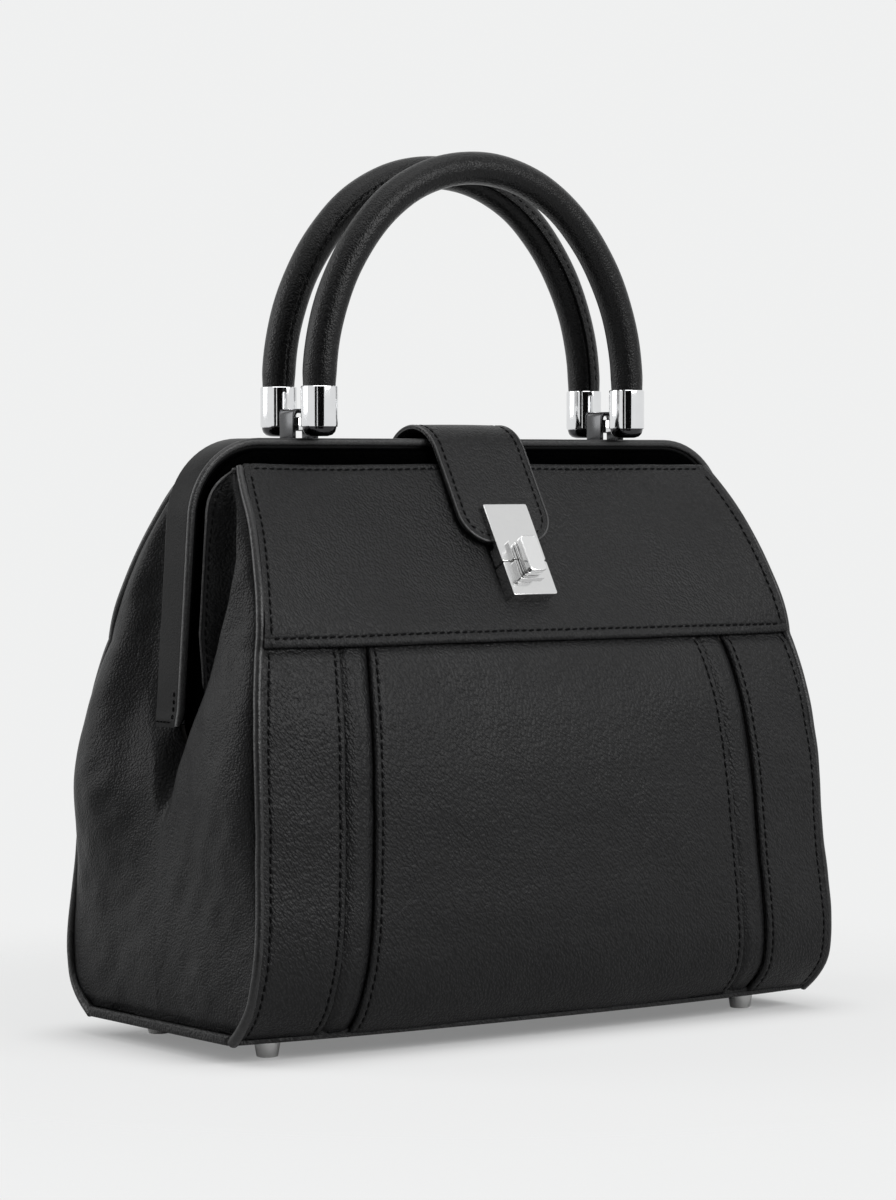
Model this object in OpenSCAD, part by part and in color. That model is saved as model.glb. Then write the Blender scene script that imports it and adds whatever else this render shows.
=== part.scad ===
// Top handle bag: a leather body on a hinged mouth frame, with two rolled handles, a front strap
// and a turn lock. X runs along the bag, the front faces -Y, and Z is height above the ground.

/* [Body] */
// Widest width of the body
body_w = 282; // [270:1:296]
// Depth of the body through its middle, at the belly
body_d = 146; // [138:1:154]
// Depth of the body at its corner edges, at the belly
edge_d = 131; // [124:1:136]
// Height of the widest level
belly_z = 62; // [56:1:68]
// Width of the body along the bottom hem
hem_w = 277; // [266:1:281]
// Depth of the bottom hem in the middle
hem_d = 120; // [112:1:126]
// Depth of the bottom hem at the corners
hem_edge_d = 105; // [98:1:110]
// Height of the seam between the lower panels and the yokes
seam_z = 154; // [150:1:158]
// Width of the body at the yoke seam
seam_w = 258; // [250:1:262]
// Depth of the body at the yoke seam, in the middle
seam_d = 112; // [108:1:116]
// Depth of the body at the yoke seam, at the corner edges
seam_edge_d = 104; // [100:1:107]
// Width of the yokes at the mouth
mouth_w = 227; // [222:1:232]
// Depth over the two yokes at the mouth
mouth_d = 29; // [28:0.5:32]

/* [Leather] */
// Thickness of the body leather with its backing
leather_t = 2.4; // [2:0.1:2.8]
// Thickness of the lining
lining_t = 0.8; // [0.6:0.1:1]
// Diameter of the piping in the corner edges
piping_d = 3.2; // [2.8:0.1:3.6]
// Width of the two recessed strips on each wall
strip_w = 13; // [10:0.5:16]
// Depth by which the strips are recessed
strip_recess = 0.9; // [0.6:0.1:1.2]
// Thickness of the base panel under the board
base_t = 2.4; // [2:0.1:3]
// Thickness of the stiff board inside the base
board_t = 2.6; // [2:0.1:3.2]

/* [Frame] */
// Height of the frame's top face
frame_top = 233; // [230:1:238]
// Outer width of the rear frame at the top corners
frame_w = 258; // [254:1:262]
// Outer width of the rear frame at the ends of its arms
frame_low_w = 272; // [268:1:276]
// Depth of the rear frame from front to back
frame_depth = 16; // [15:0.5:17]
// Thickness of the rear frame with its leather
frame_t = 4.4; // [4.2:0.1:4.8]
// Outer radius of the rear frame's corners
frame_r = 30; // [26:1:34]
// Depth of the front frame half
front_depth = 9.6; // [9:0.2:10]
// Thickness of the front frame half with its leather
front_t = 4; // [3.8:0.1:4.4]
// Thickness of the steel strip inside each frame half
core_t = 1.8; // [1.5:0.1:2]
// Height of the hinge axis
hinge_z = 127.5; // [126:0.5:129]
// Diameter of the hinge pins
hinge_d = 3; // [2.6:0.1:3.4]
// Gap beside the front half, inside the rear half's arms
side_gap = 3; // [2.6:0.1:3.4]

/* [Handles] */
// Distance between the centres of a handle's two legs
handle_span = 151.4; // [148:0.5:155]
// Distance between the front and back handles
handle_pitch = 28.4; // [27.6:0.2:30]
// Height of the top of the handles
handle_top = 347; // [342:1:352]
// Diameter of the rolled leather
handle_d = 12.7; // [12:0.1:13]
// Diameter of the core inside the rolled leather
rope_d = 8; // [7:0.1:9]
// Radius of the crown of a handle, along its centre line
crown_r = 68; // [64:1:71]
// Diameter of the metal end caps
cap_d = 14.4; // [14:0.1:14.8]
// Height of the metal end caps
cap_h = 19; // [17:0.5:21]
// Gap under the end caps
cap_lift = 1.6; // [1.4:0.1:2]
// Rounding of the lower rim of the end caps
cap_r = 3.5; // [2.5:0.1:4]

/* [Brackets] */
// Length of a bracket along the bag
bracket_l = 12; // [11:0.5:13]
// Width of a bracket from front to back
bracket_w = 9.3; // [8.5:0.1:10]
// Height of a bracket above the frame
bracket_h = 11.5; // [11:0.1:12.5]
// Thickness of the bracket metal
bracket_t = 1.6; // [1.4:0.1:1.8]
// Diameter of the handle pivot pins
pivot_d = 3; // [2.6:0.1:3.2]
// Height of the handle pivots above the frame
pivot_lift = 5.6; // [5.2:0.1:6]

/* [Strap and lock] */
// Width of the strap
strap_w = 44; // [42:0.5:46]
// Thickness of the strap
strap_t = 3; // [2.8:0.1:3.2]
// Distance from the bend to the front end of the strap, along the yoke
strap_front_l = 44; // [42:0.5:46]
// Distance from the bend to the rear end of the strap, along the back
strap_rear_l = 34; // [30:0.5:38]
// Radius of the corners at the ends of the strap
strap_corner_r = 9; // [6:0.5:12]
// Width of the lock
lock_w = 21.2; // [20:0.2:22.4]
// Length of the lock's upper plate
plate_l = 25.8; // [25:0.2:27]
// Length of the lock's lower block
block_l = 14.8; // [14:0.2:16]
// Thickness of the upper plate where it lies on the strap
plate_t = 2.6; // [2.4:0.1:2.8]
// Width of the turning knob
knob_w = 7.2; // [6.8:0.1:7.6]
// Length of the turning knob
knob_l = 15.7; // [15:0.1:16.4]
// Height of the knob above the lock
knob_h = 7.7; // [7.2:0.1:8.2]

/* [Feet] */
// Height of the metal feet
foot_h = 8; // [7:0.5:9]
// Diameter of a foot at the base
foot_d = 10; // [9:0.2:11]
// Diameter of a foot where it stands
foot_low_d = 8; // [7:0.2:8.6]
// Distance from each end of the hem to the middle of a foot
foot_end_inset = 23; // [20:0.5:29]
// Distance from the corner of the hem to the middle of a foot, from front to back
foot_side_inset = 13; // [11:0.5:17]

/* [Travel] */
// Angle by which the front frame swings open
open_angle = 26; // [20:1:26]

/* [Hidden] */
$fn = 48;
HULL_FN = 32;

// Clearances: beside a sewn edge, round a pin, round a fitted piece and between moving faces
seam_gap = 0.2;
pin_gap = 0.05;
fit_gap = 0.1;
move_gap = 0.4;
// Overrun of a cut past the face that it opens
over = 1;

// Counts of facets along and across the leather sheets
ROWS = 10;
SWING_ROWS = 5;
COLS = 10;
ARC_STEPS = 10;
PIPE_SIDES = 8;
SIDE_STEPS = 7;
CROWN_STEPS = 14;
ROLL_SIDES = 20;
CORE_SIDES = 12;

// How the half width and half depth swell between two levels, as exponents
hem_power = 2.5;
belly_power = 2.4;
yoke_power = 0.55;
plan_power = 2.6;

// Where the strips lie, as a share of the half width at the seam and at the hem
strip_seam_share = 0.62;
strip_hem_share = 0.655;

mouth_z = frame_top - 2 * frame_t;
hem_z = foot_h;
frame_low = hinge_z - frame_t;

// The front half lies inside the rear one and ends just in front of the hinge axis
front_back_y = 1;
front_side = frame_t + side_gap;
front_top = frame_t + move_gap;
flap_back_y = front_back_y + front_depth + seam_gap;
// Radius of the ear round each hinge pin, and leather thickness over the steel of each half
ear_r = 5;
cover_t = (frame_t - core_t) / 2;
front_cover_t = (front_t - core_t) / 2;

function lerp(a, b, share) = a + (b - a) * share;
function clamp(v, low, high) = max(low, min(high, v));

// Height as a share of each of the three zones of the wall
function hem_share(z) = clamp((belly_z - z) / (belly_z - hem_z), 0, 1);
function belly_share(z) = clamp((z - belly_z) / (seam_z - belly_z), 0, 1);
function yoke_share(z) = clamp((z - seam_z) / (mouth_z - seam_z), 0, 1);

// A size that goes from its hem value through the belly to the seam value
function swell(z, hem, belly, seam) =
    belly - (belly - hem) * pow(hem_share(z), hem_power)
          - (belly - seam) * pow(belly_share(z), belly_power);

// Half width of the body at a height
function half_w(z) = z <= seam_z
    ? swell(z, hem_w, body_w, seam_w) / 2
    : lerp(mouth_w, seam_w, pow(1 - yoke_share(z), yoke_power)) / 2;

// Half depth of the body at its corner edges and in its middle
function edge_depth(z) = z <= seam_z
    ? swell(z, hem_edge_d, edge_d, seam_edge_d) / 2
    : lerp(mouth_d, seam_edge_d, cos(90 * yoke_share(z))) / 2;
function middle_depth(z) = z <= seam_z
    ? swell(z, hem_d, body_d, seam_d) / 2
    : lerp(seam_d, mouth_d, yoke_share(z)) / 2;

// Half depth of the body at a place along it
function wall_depth(x, z) =
    lerp(middle_depth(z), edge_depth(z), pow(min(1, abs(x) / half_w(z)), plan_power));

// The front yoke's lower edge laps over the panels and swings on a circle round the hinge. The
// panels stay inside that circle down to the lowest place that the edge comes to.
function seam_radius(x) = norm([wall_depth(x, seam_z) + move_gap - leather_t, seam_z - hinge_z]);
function swing_depth(x, z) =
    sqrt(max(0, pow(seam_radius(x), 2) - pow(z - hinge_z, 2))) - move_gap;
swing_low_z = hinge_z + (seam_z - hinge_z) * cos(open_angle)
    - (seam_d / 2 + move_gap) * sin(open_angle) - leather_t;
function panel_depth(x, z) =
    min(wall_depth(x, z), swing_depth(x, max(z, swing_low_z)) + max(0, swing_low_z - z));

// Closed solid between two grids of points, rows upwards and columns to the right, seen from outside
module slab(outer, inner) {
    rows = len(outer);
    cols = len(outer[0]);
    size = rows * cols;
    points = concat([for (row = outer) each row], [for (row = inner) each row]);
    function at(i, j, side) = side * size + i * cols + j;
    skins = [for (i = [0 : rows - 2], j = [0 : cols - 2], side = [0, 1]) each
        side == 0
            ? [[at(i, j, 0), at(i + 1, j, 0), at(i + 1, j + 1, 0)],
               [at(i, j, 0), at(i + 1, j + 1, 0), at(i, j + 1, 0)]]
            : [[at(i, j, 1), at(i + 1, j + 1, 1), at(i + 1, j, 1)],
               [at(i, j, 1), at(i, j + 1, 1), at(i + 1, j + 1, 1)]]];
    ring = concat(
        [for (j = [0 : cols - 2]) [0, j]],
        [for (i = [0 : rows - 2]) [i, cols - 1]],
        [for (j = [cols - 1 : -1 : 1]) [rows - 1, j]],
        [for (i = [rows - 1 : -1 : 1]) [i, 0]]);
    rim = [for (k = [0 : len(ring) - 1])
        let (a = ring[k], b = ring[(k + 1) % len(ring)]) each
        [[at(a[0], a[1], 0), at(b[0], b[1], 0), at(b[0], b[1], 1)],
         [at(a[0], a[1], 0), at(b[0], b[1], 1), at(a[0], a[1], 1)]]];
    polyhedron(points, concat(skins, rim));
}

function steps(low, high, count) = [for (i = [0 : count]) lerp(low, high, i / count)];
// Levels of the lower walls, with one where the swing of the front yoke begins
function levels(low, high) = concat(
    steps(low, swing_low_z, ROWS),
    [for (i = [1 : SWING_ROWS]) lerp(swing_low_z, high, i / SWING_ROWS)]);

// Inner edge of a strip, and the outer limit of the front and back walls
function strip_x(z) = half_w(z) * lerp(strip_hem_share, strip_seam_share,
    clamp((z - hem_z) / (seam_z - hem_z), 0, 1));
function wall_x(z) = half_w(z) - piping_d - seam_gap;

// Piece of a front wall: which = 0 centre, 1 strip, 2 side panel
function patch_x(which, share, z) =
    which == 0 ? lerp(-strip_x(z), strip_x(z), share) :
    which == 1 ? strip_x(z) + seam_gap + share * (strip_w - 2 * seam_gap) :
    lerp(strip_x(z) + strip_w, wall_x(z), share);

module wall_patch(which, front, recess) {
    cols = which == 0 ? COLS : 3;
    zs = levels(hem_z, seam_z - seam_gap);
    grid = [for (z = zs) [for (share = steps(0, 1, cols))
        let (x = patch_x(which, share, z), depth = front ? panel_depth(x, z) : wall_depth(x, z))
        [x, recess - depth, z]]];
    slab(grid, [for (row = grid) [for (p = row) p + [0, leather_t, 0]]]);
}

module both_sides() {
    children();
    mirror([1, 0, 0]) children();
}

module yoke() {
    zs = steps(seam_z, mouth_z, ROWS);
    grid = [for (z = zs) [for (share = steps(-1, 1, COLS + 2))
        let (x = share * (half_w(z) - seam_gap))
        [x, -wall_depth(x, z) - move_gap, z]]];
    slab(grid, [for (row = grid) [for (p = row) p + [0, leather_t, 0]]]);
}

module front_centre_panel() { color("#202022") wall_patch(0, true, 0); }
module front_side_panels() { color("#202022") both_sides() wall_patch(2, true, 0); }
module front_strips() { color("#18181a") both_sides() wall_patch(1, true, strip_recess); }
module back_centre_panel() { color("#202022") mirror([0, 1, 0]) wall_patch(0, false, 0); }
module back_side_panels() {
    color("#202022") mirror([0, 1, 0]) both_sides() wall_patch(2, false, 0);
}
module back_strips() {
    color("#18181a") mirror([0, 1, 0]) both_sides() wall_patch(1, false, strip_recess);
}

// The upper edge of a yoke turns in to the frame half that it is sewn to. Where the frame runs
// straight, a tongue goes on under it.
lip_y = mouth_d / 2 + move_gap - leather_t / 2;
tongue_x = frame_w / 2 - frame_r;
module mouth_lip(reach) {
    translate([seam_gap - mouth_w / 2, -lip_y, mouth_z - leather_t])
        cube([mouth_w - 2 * seam_gap, lip_y - reach, leather_t]);
}
module lip_tongue(reach, top) {
    translate([-tongue_x, -reach - leather_t, mouth_z - leather_t])
        cube([2 * tongue_x, 2 * leather_t, top - mouth_z + leather_t]);
}

module front_yoke() {
    reach = front_back_y + front_depth;
    color("#232325") difference() {
        union() {
            yoke();
            mouth_lip(reach + seam_gap);
            lip_tongue(reach, frame_top - front_top - front_t);
        }
        lock_frame() lock_screw_holes();
    }
}

module back_yoke() {
    reach = frame_depth / 2;
    color("#232325") mirror([0, 1, 0]) {
        yoke();
        mouth_lip(reach + seam_gap);
        lip_tongue(reach - leather_t, frame_top - frame_t);
    }
}

// Gussets: a valley forms under the end of the frame's arm, and fades out towards the belly
valley_depth = 7;
valley_w = 20;
valley_fade_share = 0.45;
function valley(y, z) = valley_depth * exp(-pow(y / valley_w, 2))
    * clamp((z - lerp(belly_z, frame_low, valley_fade_share))
        / ((1 - valley_fade_share) * (frame_low - belly_z)), 0, 1);
function gusset_x(y, z) = half_w(z) - valley(y, z);

// Outer face of an arch inset in the rear frame, straight and then round its corner
function face_x(z, side, top) =
    let (r = frame_r - max(side, top), low = frame_top - top - r)
    z <= low ? arm_x(z) - side
        : arm_x(low) - side - r + sqrt(max(0, pow(r, 2) - pow(z - low, 2)));
function gusset_y(z) = edge_depth(z) - piping_d - seam_gap;
// Below the yoke the front gusset edge follows the panel that makes way for the yoke
function gusset_front_y(z) = panel_depth(half_w(z), z) - piping_d - seam_gap;
// Behind the hinge the gusset goes on up inside the rear frame's arm. In front of the hinge its
// upper edge climbs to the yoke seam.
gusset_split_y = ear_r + move_gap;
gusset_low_top = min(frame_low, hinge_z - ear_r) - move_gap;
climb_share = 0.4;
function gusset_top(share) =
    lerp(seam_z - leather_t, gusset_low_top, clamp(share / climb_share, 0, 1));

module gusset() {
    front_top_z = gusset_top(0);
    ups = [for (z = levels(hem_z, front_top_z)) (z - hem_z) / (front_top_z - hem_z)];
    low = [for (up = ups) [for (share = steps(0, 1, COLS))
        let (z = lerp(hem_z, gusset_top(share), up), y = lerp(-gusset_front_y(z), gusset_y(z), share))
        [gusset_x(y, z), y, z]]];
    high = [for (z = steps(gusset_low_top, mouth_z - leather_t - seam_gap, ROWS)) [
        for (share = steps(0, 1, 5))
        let (y = lerp(gusset_split_y, max(gusset_y(z), gusset_split_y + leather_t), share),
             hidden = face_x(z, frame_t, frame_t) - move_gap,
             x = lerp(hidden, gusset_x(y, z), clamp((y - frame_depth / 2) / valley_w, 0, 1)))
        [x, y, z]]];
    for (grid = [low, high])
        slab(grid, [for (row = grid) [for (p = row) p - [leather_t, 0, 0]]]);
}

module left_gusset() { color("#1d1d1f") mirror([1, 0, 0]) gusset(); }
module right_gusset() { color("#1d1d1f") gusset(); }

// The front part of each gusset is sewn to the yoke and to the arm of the front half, and sags
// between. Low down it stays inside the circle of the panels' inner faces, and it reaches the yoke
// only above the level that swings down past the top of the panels.
flap_inset = leather_t + 2 * move_gap;
flap_sag = 4;
flap_r = norm([seam_edge_d / 2 - leather_t, seam_z - hinge_z]) - leather_t - move_gap;
seam_lift = atan2(seam_z - hinge_z, seam_edge_d / 2 - leather_t);
flap_free_z = hinge_z + (flap_r + 2 * leather_t) * sin(seam_lift + open_angle) + leather_t;
flap_top_z = mouth_z - leather_t - seam_gap;
function flap_front_y(z) = z <= flap_free_z
    ? sqrt(max(0, pow(flap_r, 2) - pow(z - hinge_z, 2)))
    : edge_depth(z) - leather_t - seam_gap;
module front_gusset_flaps() {
    zs = concat(steps(hinge_z + leather_t, flap_free_z, SWING_ROWS),
        [for (i = [1 : SWING_ROWS]) lerp(flap_free_z, flap_top_z, i / SWING_ROWS)]);
    grid = [for (z = zs) [for (share = steps(0, 1, 6))
        let (far = -max(flap_front_y(z), flap_back_y + leather_t),
             y = lerp(far, -flap_back_y, share),
             x = lerp(half_w(z) - flap_inset, face_x(z, front_side, front_top), share))
        [x - flap_sag * sin(180 * share), y, z]]];
    color("#1d1d1f") both_sides()
        slab(grid, [for (row = grid) [for (p = row) p - [leather_t, 0, 0]]]);
}

// Tube along a list of points, with rings that lie level
module upright_tube(path, r) {
    ring = [for (k = [0 : PIPE_SIDES - 1]) r * [cos(360 * k / PIPE_SIDES), sin(360 * k / PIPE_SIDES), 0]];
    points = [for (p = path) each [for (q = ring) p + q]];
    last = len(path) - 1;
    function at(i, k) = i * PIPE_SIDES + k % PIPE_SIDES;
    sides = [for (i = [0 : last - 1], k = [0 : PIPE_SIDES - 1]) each
        [[at(i, k), at(i + 1, k), at(i + 1, k + 1)], [at(i, k), at(i + 1, k + 1), at(i, k + 1)]]];
    polyhedron(points, concat(sides,
        [[for (k = [0 : PIPE_SIDES - 1]) at(0, k)]],
        [[for (k = [PIPE_SIDES - 1 : -1 : 0]) at(last, k)]]));
}

module corner_piping() {
    r = piping_d / 2;
    zs = levels(hem_z, seam_z - leather_t);
    front = [for (z = zs) [half_w(z) - r, r - panel_depth(half_w(z), z), z]];
    back = [for (z = zs) [half_w(z) - r, edge_depth(z) - r, z]];
    color("#1a1a1c") both_sides() {
        upright_tube(front, r);
        upright_tube(back, r);
    }
}

// Lining on the inner faces of the fixed walls
module lining() {
    gap = leather_t + 2 * seam_gap;
    low = hem_z + base_t + board_t + seam_gap;
    high = frame_low - leather_t;
    zs = concat([low], [for (z = levels(hem_z, seam_z - seam_gap)) if (z > low + leather_t && z < high) z]);
    inset = gap + lining_t + piping_d;
    walls = [for (side = [-1, 1]) [for (z = zs) [for (share = steps(-1, 1, COLS))
        let (x = share * (half_w(z) - inset), front = panel_depth(x, z), back = wall_depth(x, z))
        [x, side * ((side < 0 ? front : back) - gap - strip_recess), z]]]];
    ends = [for (z = zs) [for (share = steps(0, 1, COLS))
        let (y = share * 2 - 1, half = min(gusset_front_y(z), gusset_y(z)) - gap - lining_t)
        [gusset_x(y * half, z) - gap, y * half, z]]];
    color("#3a3836") {
        slab(walls[0], [for (row = walls[0]) [for (p = row) p + [0, lining_t, 0]]]);
        mirror([0, 1, 0])
            slab([for (row = walls[1]) [for (p = row) [p[0], -p[1], p[2]]]],
                [for (row = walls[1]) [for (p = row) [p[0], lining_t - p[1], p[2]]]]);
        both_sides()
            slab(ends, [for (row = ends) [for (p = row) p - [lining_t, 0, 0]]]);
    }
}

// Base plate: it follows the walls at the hem, inside them by a margin
module base_plate(margin, t) {
    half = hem_w / 2 - piping_d - margin;
    front = [for (share = steps(-1, 1, COLS)) [share * half, margin - wall_depth(share * half, hem_z)]];
    linear_extrude(t)
        polygon(concat(front, [for (i = [COLS : -1 : 0]) [front[i][0], -front[i][1]]]));
}
shank_d = foot_d / 3;
foot_span = hem_w - 2 * foot_end_inset;
foot_pitch = hem_edge_d - 2 * foot_side_inset;
nut_d = foot_d * 0.9;
nut_t = foot_h / 4;
shank_top = foot_h + base_t + board_t + nut_t;

module at_feet() {
    for (sx = [-1, 1], sy = [-1, 1])
        translate([sx * foot_span / 2, sy * foot_pitch / 2, 0]) children();
}

module base_panel() {
    color("#1a1a1c") difference() {
        translate([0, 0, hem_z]) base_plate(leather_t + strip_recess + seam_gap, base_t);
        at_feet() translate([0, 0, hem_z - over])
            cylinder(d = shank_d + 2 * fit_gap, h = base_t + 2 * over);
    }
}

module base_board() {
    color("#8a7a60") difference() {
        translate([0, 0, hem_z + base_t]) base_plate(2 * leather_t + strip_recess, board_t);
        at_feet() translate([0, 0, hem_z + base_t - over])
            cylinder(d = shank_d + 2 * fit_gap, h = board_t + 2 * over);
    }
}

module feet() {
    bevel = foot_low_d / 16;
    color("#b9bbbd") at_feet() {
        rotate_extrude() polygon([
            [0, 0], [foot_low_d / 2 - bevel, 0], [foot_low_d / 2, bevel],
            [foot_d / 2, foot_h - bevel], [foot_d / 2 - bevel, foot_h],
            [shank_d / 2, foot_h], [shank_d / 2, shank_top], [0, shank_top]]);
    }
}

module foot_nuts() {
    color("#a8a49a") at_feet() translate([0, 0, foot_h + base_t + board_t]) difference() {
        cylinder(d = nut_d, h = nut_t, $fn = 6);
        translate([0, 0, -over]) cylinder(d = shank_d + 2 * pin_gap, h = nut_t + 2 * over);
    }
}

// Frame: two U-shaped halves. The outline runs up the left arm, round the corners and down the right
function unit(v) = v / norm(v);
function fillet(a, b, c, r) =
    let (u = unit(a - b), v = unit(c - b), half = acos(u * v) / 2, reach = r / tan(half),
         centre = b + unit(u + v) * r / sin(half), p = b + u * reach, q = b + v * reach,
         a0 = atan2(p[1] - centre[1], p[0] - centre[0]),
         a1 = atan2(q[1] - centre[1], q[0] - centre[0]),
         sweep = (a1 - a0 + 540) % 360 - 180)
    [for (i = [0 : ARC_STEPS]) let (a = a0 + sweep * i / ARC_STEPS) centre + r * [cos(a), sin(a)]];
// Half width of the rear frame's outer face where its arms are straight
function arm_x(z) = lerp(frame_low_w, frame_w, (z - frame_low) / (frame_top - frame_r - frame_low)) / 2;

// Outline of an arch: inset from the rear frame's outer face at the sides and at the top
function arch_points(side, top, low) =
    let (a = [side - arm_x(low), low], b = [side - arm_x(frame_top), frame_top - top],
         left = concat([a], fillet(a, b, [0, frame_top - top], max(frame_t, frame_r - max(side, top)))))
    concat(left, [for (i = [len(left) - 1 : -1 : 0]) [-left[i][0], left[i][1]]]);
module arch(side, top, t, depth, y, low) {
    outer = arch_points(side, top, low);
    inner = arch_points(side + t, top + t, low);
    translate([0, y + depth, 0]) rotate([90, 0, 0]) linear_extrude(depth)
        polygon(concat(outer, [for (i = [len(inner) - 1 : -1 : 0]) inner[i]]));
}

arm_end_x = arm_x(hinge_z);
ear_x = arm_end_x - front_side - front_t;

module along_x(x, y, z) {
    translate([x, y, z]) rotate([0, 90, 0]) children();
}

module rear_frame_cover() {
    color("#1b1b1d") difference() {
        arch(0, 0, frame_t, frame_depth, -frame_depth / 2, frame_low);
        arch(cover_t - fit_gap, cover_t - fit_gap, core_t + 2 * fit_gap,
            frame_depth - 2 * cover_t + 2 * fit_gap, cover_t - fit_gap - frame_depth / 2,
            frame_low + cover_t);
        both_sides() along_x(arm_end_x - frame_t - over, 0, hinge_z)
            cylinder(d = hinge_d + 2 * pin_gap, h = frame_t - cover_t + over);
        at_brackets() bracket_slots(cover_t);
    }
}

module rear_frame_core() {
    color("#8d8f92") difference() {
        arch(cover_t, cover_t, core_t, frame_depth - 2 * cover_t,
            cover_t - frame_depth / 2, frame_low + cover_t + fit_gap);
        both_sides() along_x(arm_end_x - frame_t - over, 0, hinge_z)
            cylinder(d = hinge_d + 2 * pin_gap, h = frame_t + 2 * over);
    }
}

// Round ear round the hinge pin at the foot of each arm of the front half
module ears(x, t, r) {
    both_sides() along_x(x, 0, hinge_z) cylinder(r = r, h = t);
}

module front_frame_cover() {
    color("#161618") difference() {
        union() {
            arch(front_side, front_top, front_t, front_depth, -front_back_y - front_depth, hinge_z);
            ears(ear_x, front_t, ear_r);
        }
        arch(front_side + front_cover_t - fit_gap, front_top + front_cover_t - fit_gap,
            core_t + 2 * fit_gap, front_depth - 2 * front_cover_t + 2 * fit_gap,
            front_cover_t - fit_gap - front_back_y - front_depth, hinge_z + ear_r);
        ears(ear_x - over, front_t + 2 * over, hinge_d / 2 + pin_gap);
    }
}

module front_frame_core() {
    color("#8d8f92")
        arch(front_side + front_cover_t, front_top + front_cover_t, core_t,
            front_depth - 2 * front_cover_t, front_cover_t - front_back_y - front_depth,
            hinge_z + ear_r + fit_gap);
}

module hinge_pins() {
    head_t = hinge_d / 3;
    low_x = ear_x - move_gap - head_t;
    color("#b9bbbd") both_sides() {
        along_x(low_x, 0, hinge_z) cylinder(d = hinge_d, h = arm_end_x - cover_t - fit_gap - low_x);
        along_x(low_x, 0, hinge_z) cylinder(d = 2 * hinge_d, h = head_t);
    }
}

module hinge_bushes() {
    low_x = ear_x + front_t + move_gap / 2;
    high_x = min(arm_x(hinge_z + hinge_d), arm_x(hinge_z - hinge_d)) - frame_t - fit_gap;
    color("#a8a49a") both_sides() difference() {
        along_x(low_x, 0, hinge_z) cylinder(d = 2 * hinge_d, h = high_x - low_x);
        along_x(low_x - over, 0, hinge_z)
            cylinder(d = hinge_d + 2 * pin_gap, h = high_x - low_x + 2 * over);
    }
}

// Brackets and handle pivots
leg_x = handle_span / 2;
pivot_z = frame_top + pivot_lift;

module at_brackets() {
    for (sx = [-1, 1]) translate([sx * leg_x, 0, frame_top]) children();
}

// Slots for a bracket's legs: they end at the steel core
module bracket_slots(depth) {
    for (sx = [-1, 1])
        translate([sx * (bracket_l - bracket_t) / 2 - bracket_t / 2 - fit_gap,
            -bracket_w / 2 - fit_gap, -depth])
            cube([bracket_t + 2 * fit_gap, bracket_w + 2 * fit_gap, depth + over]);
}

module bracket() {
    bend_r = bracket_t * 1.5;
    top = bracket_h;
    foot = cover_t;
    module outline(inset) {
        half = bracket_l / 2 - inset;
        r = bend_r - inset / 2;
        polygon(concat(
            [[-half, -foot - (inset > 0 ? over : 0)]],
            fillet([-half, -foot], [-half, top - inset], [0, top - inset], r),
            fillet([0, top - inset], [half, top - inset], [half, -foot], r),
            [[half, -foot - (inset > 0 ? over : 0)]]));
    }
    difference() {
        translate([0, bracket_w / 2, 0]) rotate([90, 0, 0]) linear_extrude(bracket_w) difference() {
            outline(0);
            outline(bracket_t);
        }
        along_x(-bracket_l, 0, pivot_lift) cylinder(d = pivot_d + 2 * pin_gap, h = 2 * bracket_l);
    }
}

module brackets() { color("#c9cbcd") at_brackets() bracket(); }

module pivot_pins() {
    color("#c9cbcd") at_brackets()
        along_x(-bracket_l / 2, 0, pivot_lift) cylinder(d = pivot_d, h = bracket_l);
}

// Handles: straight legs, two side arcs and a crown arc, all tangent
cap_low = frame_top + cap_lift;
cap_top = cap_low + cap_h;
cap_floor = cap_low + cap_h * 0.4;
rise = handle_top - handle_d / 2 - cap_top;
half_span = handle_span / 2;
side_r = (pow(half_span, 2) + pow(rise - crown_r, 2) - pow(crown_r, 2)) / (2 * (half_span - crown_r));
side_angle = atan2(rise - crown_r, side_r - half_span);

// Centre line of a handle in the plane of its arch, from the foot of one leg to the other
crown_z = rise - crown_r;
function arc_points(centre, r, from, to, count) =
    [for (i = [0 : count]) let (a = lerp(from, to, i / count)) centre + r * [cos(a), sin(a)]];
function handle_line(foot) =
    let (side = concat([[half_span, foot]],
             arc_points([half_span - side_r, 0], side_r, 0, side_angle, SIDE_STEPS)),
         crown = arc_points([0, crown_z], crown_r, side_angle, 180 - side_angle, CROWN_STEPS),
         far = [for (i = [len(side) - 2 : -1 : 0]) [-side[i][0], side[i][1]]])
    concat(side, [for (i = [1 : CROWN_STEPS]) crown[i]], far);

// Round tube along a line that lies in the XZ plane
module arch_tube(line, d, sides) {
    last = len(line) - 1;
    points = [for (i = [0 : last])
        let (t = unit(line[min(i + 1, last)] - line[max(i - 1, 0)])) each
        [for (k = [0 : sides - 1]) let (a = 360 * k / sides)
            [line[i][0] + d / 2 * cos(a) * t[1], d / 2 * sin(a), line[i][1] - d / 2 * cos(a) * t[0]]]];
    function at(i, k) = i * sides + k % sides;
    skin = [for (i = [0 : last - 1], k = [0 : sides - 1]) each
        [[at(i, k), at(i + 1, k), at(i + 1, k + 1)], [at(i, k), at(i + 1, k + 1), at(i, k + 1)]]];
    polyhedron(points, concat(skin,
        [[for (k = [0 : sides - 1]) at(0, k)]],
        [[for (k = [sides - 1 : -1 : 0]) at(last, k)]]));
}

module at_handle(side) { translate([0, side * handle_pitch / 2, cap_top]) children(); }

module handle_roll(side) {
    color("#1c1c1e") at_handle(side) difference() {
        arch_tube(handle_line(cap_floor - cap_top), handle_d, ROLL_SIDES);
        arch_tube(handle_line(cap_floor - cap_top - over), rope_d + 2 * fit_gap, CORE_SIDES);
    }
}

module handle_core(side) {
    color("#b7a37c") at_handle(side) arch_tube(handle_line(cap_floor - cap_top), rope_d, CORE_SIDES);
}

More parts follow.
